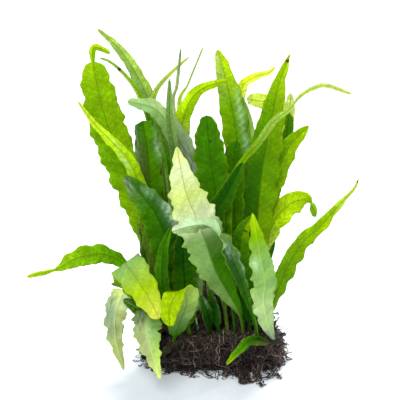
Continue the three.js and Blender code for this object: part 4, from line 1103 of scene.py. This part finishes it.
frond("frond_back_06",
      [(15, 25, 16), (17, 38, 42), (22, 50, 95), (27, 56, 127), (31, 58, 145)],
      width=15, stalk=0.16, waves=5, ruffle=1.0, belly=0.4, across=[(-1, 0, 0)],
      upper="forest pine", under="moss sage", gloss=True)
frond("frond_back_07",
      [(23, 24, 15), (29, 36, 35), (36, 50, 65), (42, 62, 86), (48, 72, 94)],
      width=18, stalk=0.2, waves=5, ruffle=1.2, across=[(-1, -0.3, -0.4)],
      upper="pine leaf spring")
frond("frond_back_08",
      [(30, 24, 15), (39, 32, 79), (49, 32, 126), (54, 29, 159), (55, 27, 182)],
      width=8, stalk=0.3, waves=5, ruffle=0.5, belly=0.65, blunt=0.35, across=[(1, 0.5, 0)],
      upper="leaf silver silver cream")
frond("frond_back_09",
      [(34, 25, 13), (42, 27, 68), (44, 26, 110), (51, 24, 143), (54, 21, 169)],
      width=9, stalk=0.3, waves=5, ruffle=0.4, belly=0.6, blunt=0.25, across=[(1, 0.2, 0)],
      upper="fern fern fern leaf")

# The floor: a plain white table that runs on beyond the picture.
FLOOR_HALF = 12.0
FLOOR_Z = -0.0002
floor_corners = [(-FLOOR_HALF, -FLOOR_HALF, FLOOR_Z), (FLOOR_HALF, -FLOOR_HALF, FLOOR_Z),
                 (FLOOR_HALF, FLOOR_HALF, FLOOR_Z), (-FLOOR_HALF, FLOOR_HALF, FLOOR_Z)]
floor_mesh = bpy.data.meshes.new("white_table")
floor_mesh.from_pydata(floor_corners, [], [(0, 1, 2, 3)])
floor = bpy.data.objects.new("white_table", floor_mesh)
bpy.context.scene.collection.objects.link(floor)
table_white = Finish("table_white")
table_white.feed(table_white.tree.nodes["Principled BSDF"], {
    "Base Color": (0.50, 0.53, 0.57, 1), "Roughness": 0.6, "Specular IOR Level": 0.2,
    "Emission Color": (0.9, 0.95, 1.0, 1), "Emission Strength": 0.15})
floor_mesh.materials.append(table_white.material)

# The light: a white room, soft daylight from above and behind, and a weaker one from in front.
room = bpy.data.worlds.new("white_room")
room.use_nodes = True
room.node_tree.nodes["Background"].inputs["Color"].default_value = (0.90, 0.95, 1.0, 1)
room.node_tree.nodes["Background"].inputs["Strength"].default_value = 0.56
bpy.context.scene.world = room


def add_daylight(name, source, strength, spread, colour):
    """Parallel daylight from the direction of a point, spread over an angle in degrees."""
    light = bpy.data.lights.new(name, "SUN")
    light.energy = strength
    light.angle = np.radians(spread)
    light.color = colour
    daylight = bpy.data.objects.new(name, light)
    daylight.rotation_euler = Vector(source).to_track_quat("Z", "Y").to_euler()
    bpy.context.scene.collection.objects.link(daylight)


add_daylight("back_daylight", (0.25, 0.75, 1.3), strength=6.4, spread=30, colour=(1.0, 0.99, 0.95))
add_daylight("front_daylight", (-0.35, -0.9, 1.0), strength=3.7, spread=40, colour=(1.0, 1.0, 0.98))

# The camera: a little above the plant and straight in front of it, as the picture was taken.
CAMERA_RISE = np.radians(17)
CAMERA_DISTANCE = 850
CAMERA_TARGET = np.array([-6.3, 31.9, 104.4])
CAMERA_LENS = 109.3
camera_way = np.array([0, -np.cos(CAMERA_RISE), np.sin(CAMERA_RISE)])
camera_data = bpy.data.cameras.new("camera")
camera_data.lens = CAMERA_LENS
camera = bpy.data.objects.new("camera", camera_data)
camera.location = (CAMERA_TARGET + CAMERA_DISTANCE * camera_way) * METRES_PER_MM
camera.rotation_euler = (np.pi / 2 - CAMERA_RISE, 0, 0)
bpy.context.scene.collection.objects.link(camera)
bpy.context.scene.camera = camera
bpy.context.scene.view_settings.view_transform = "Standard"
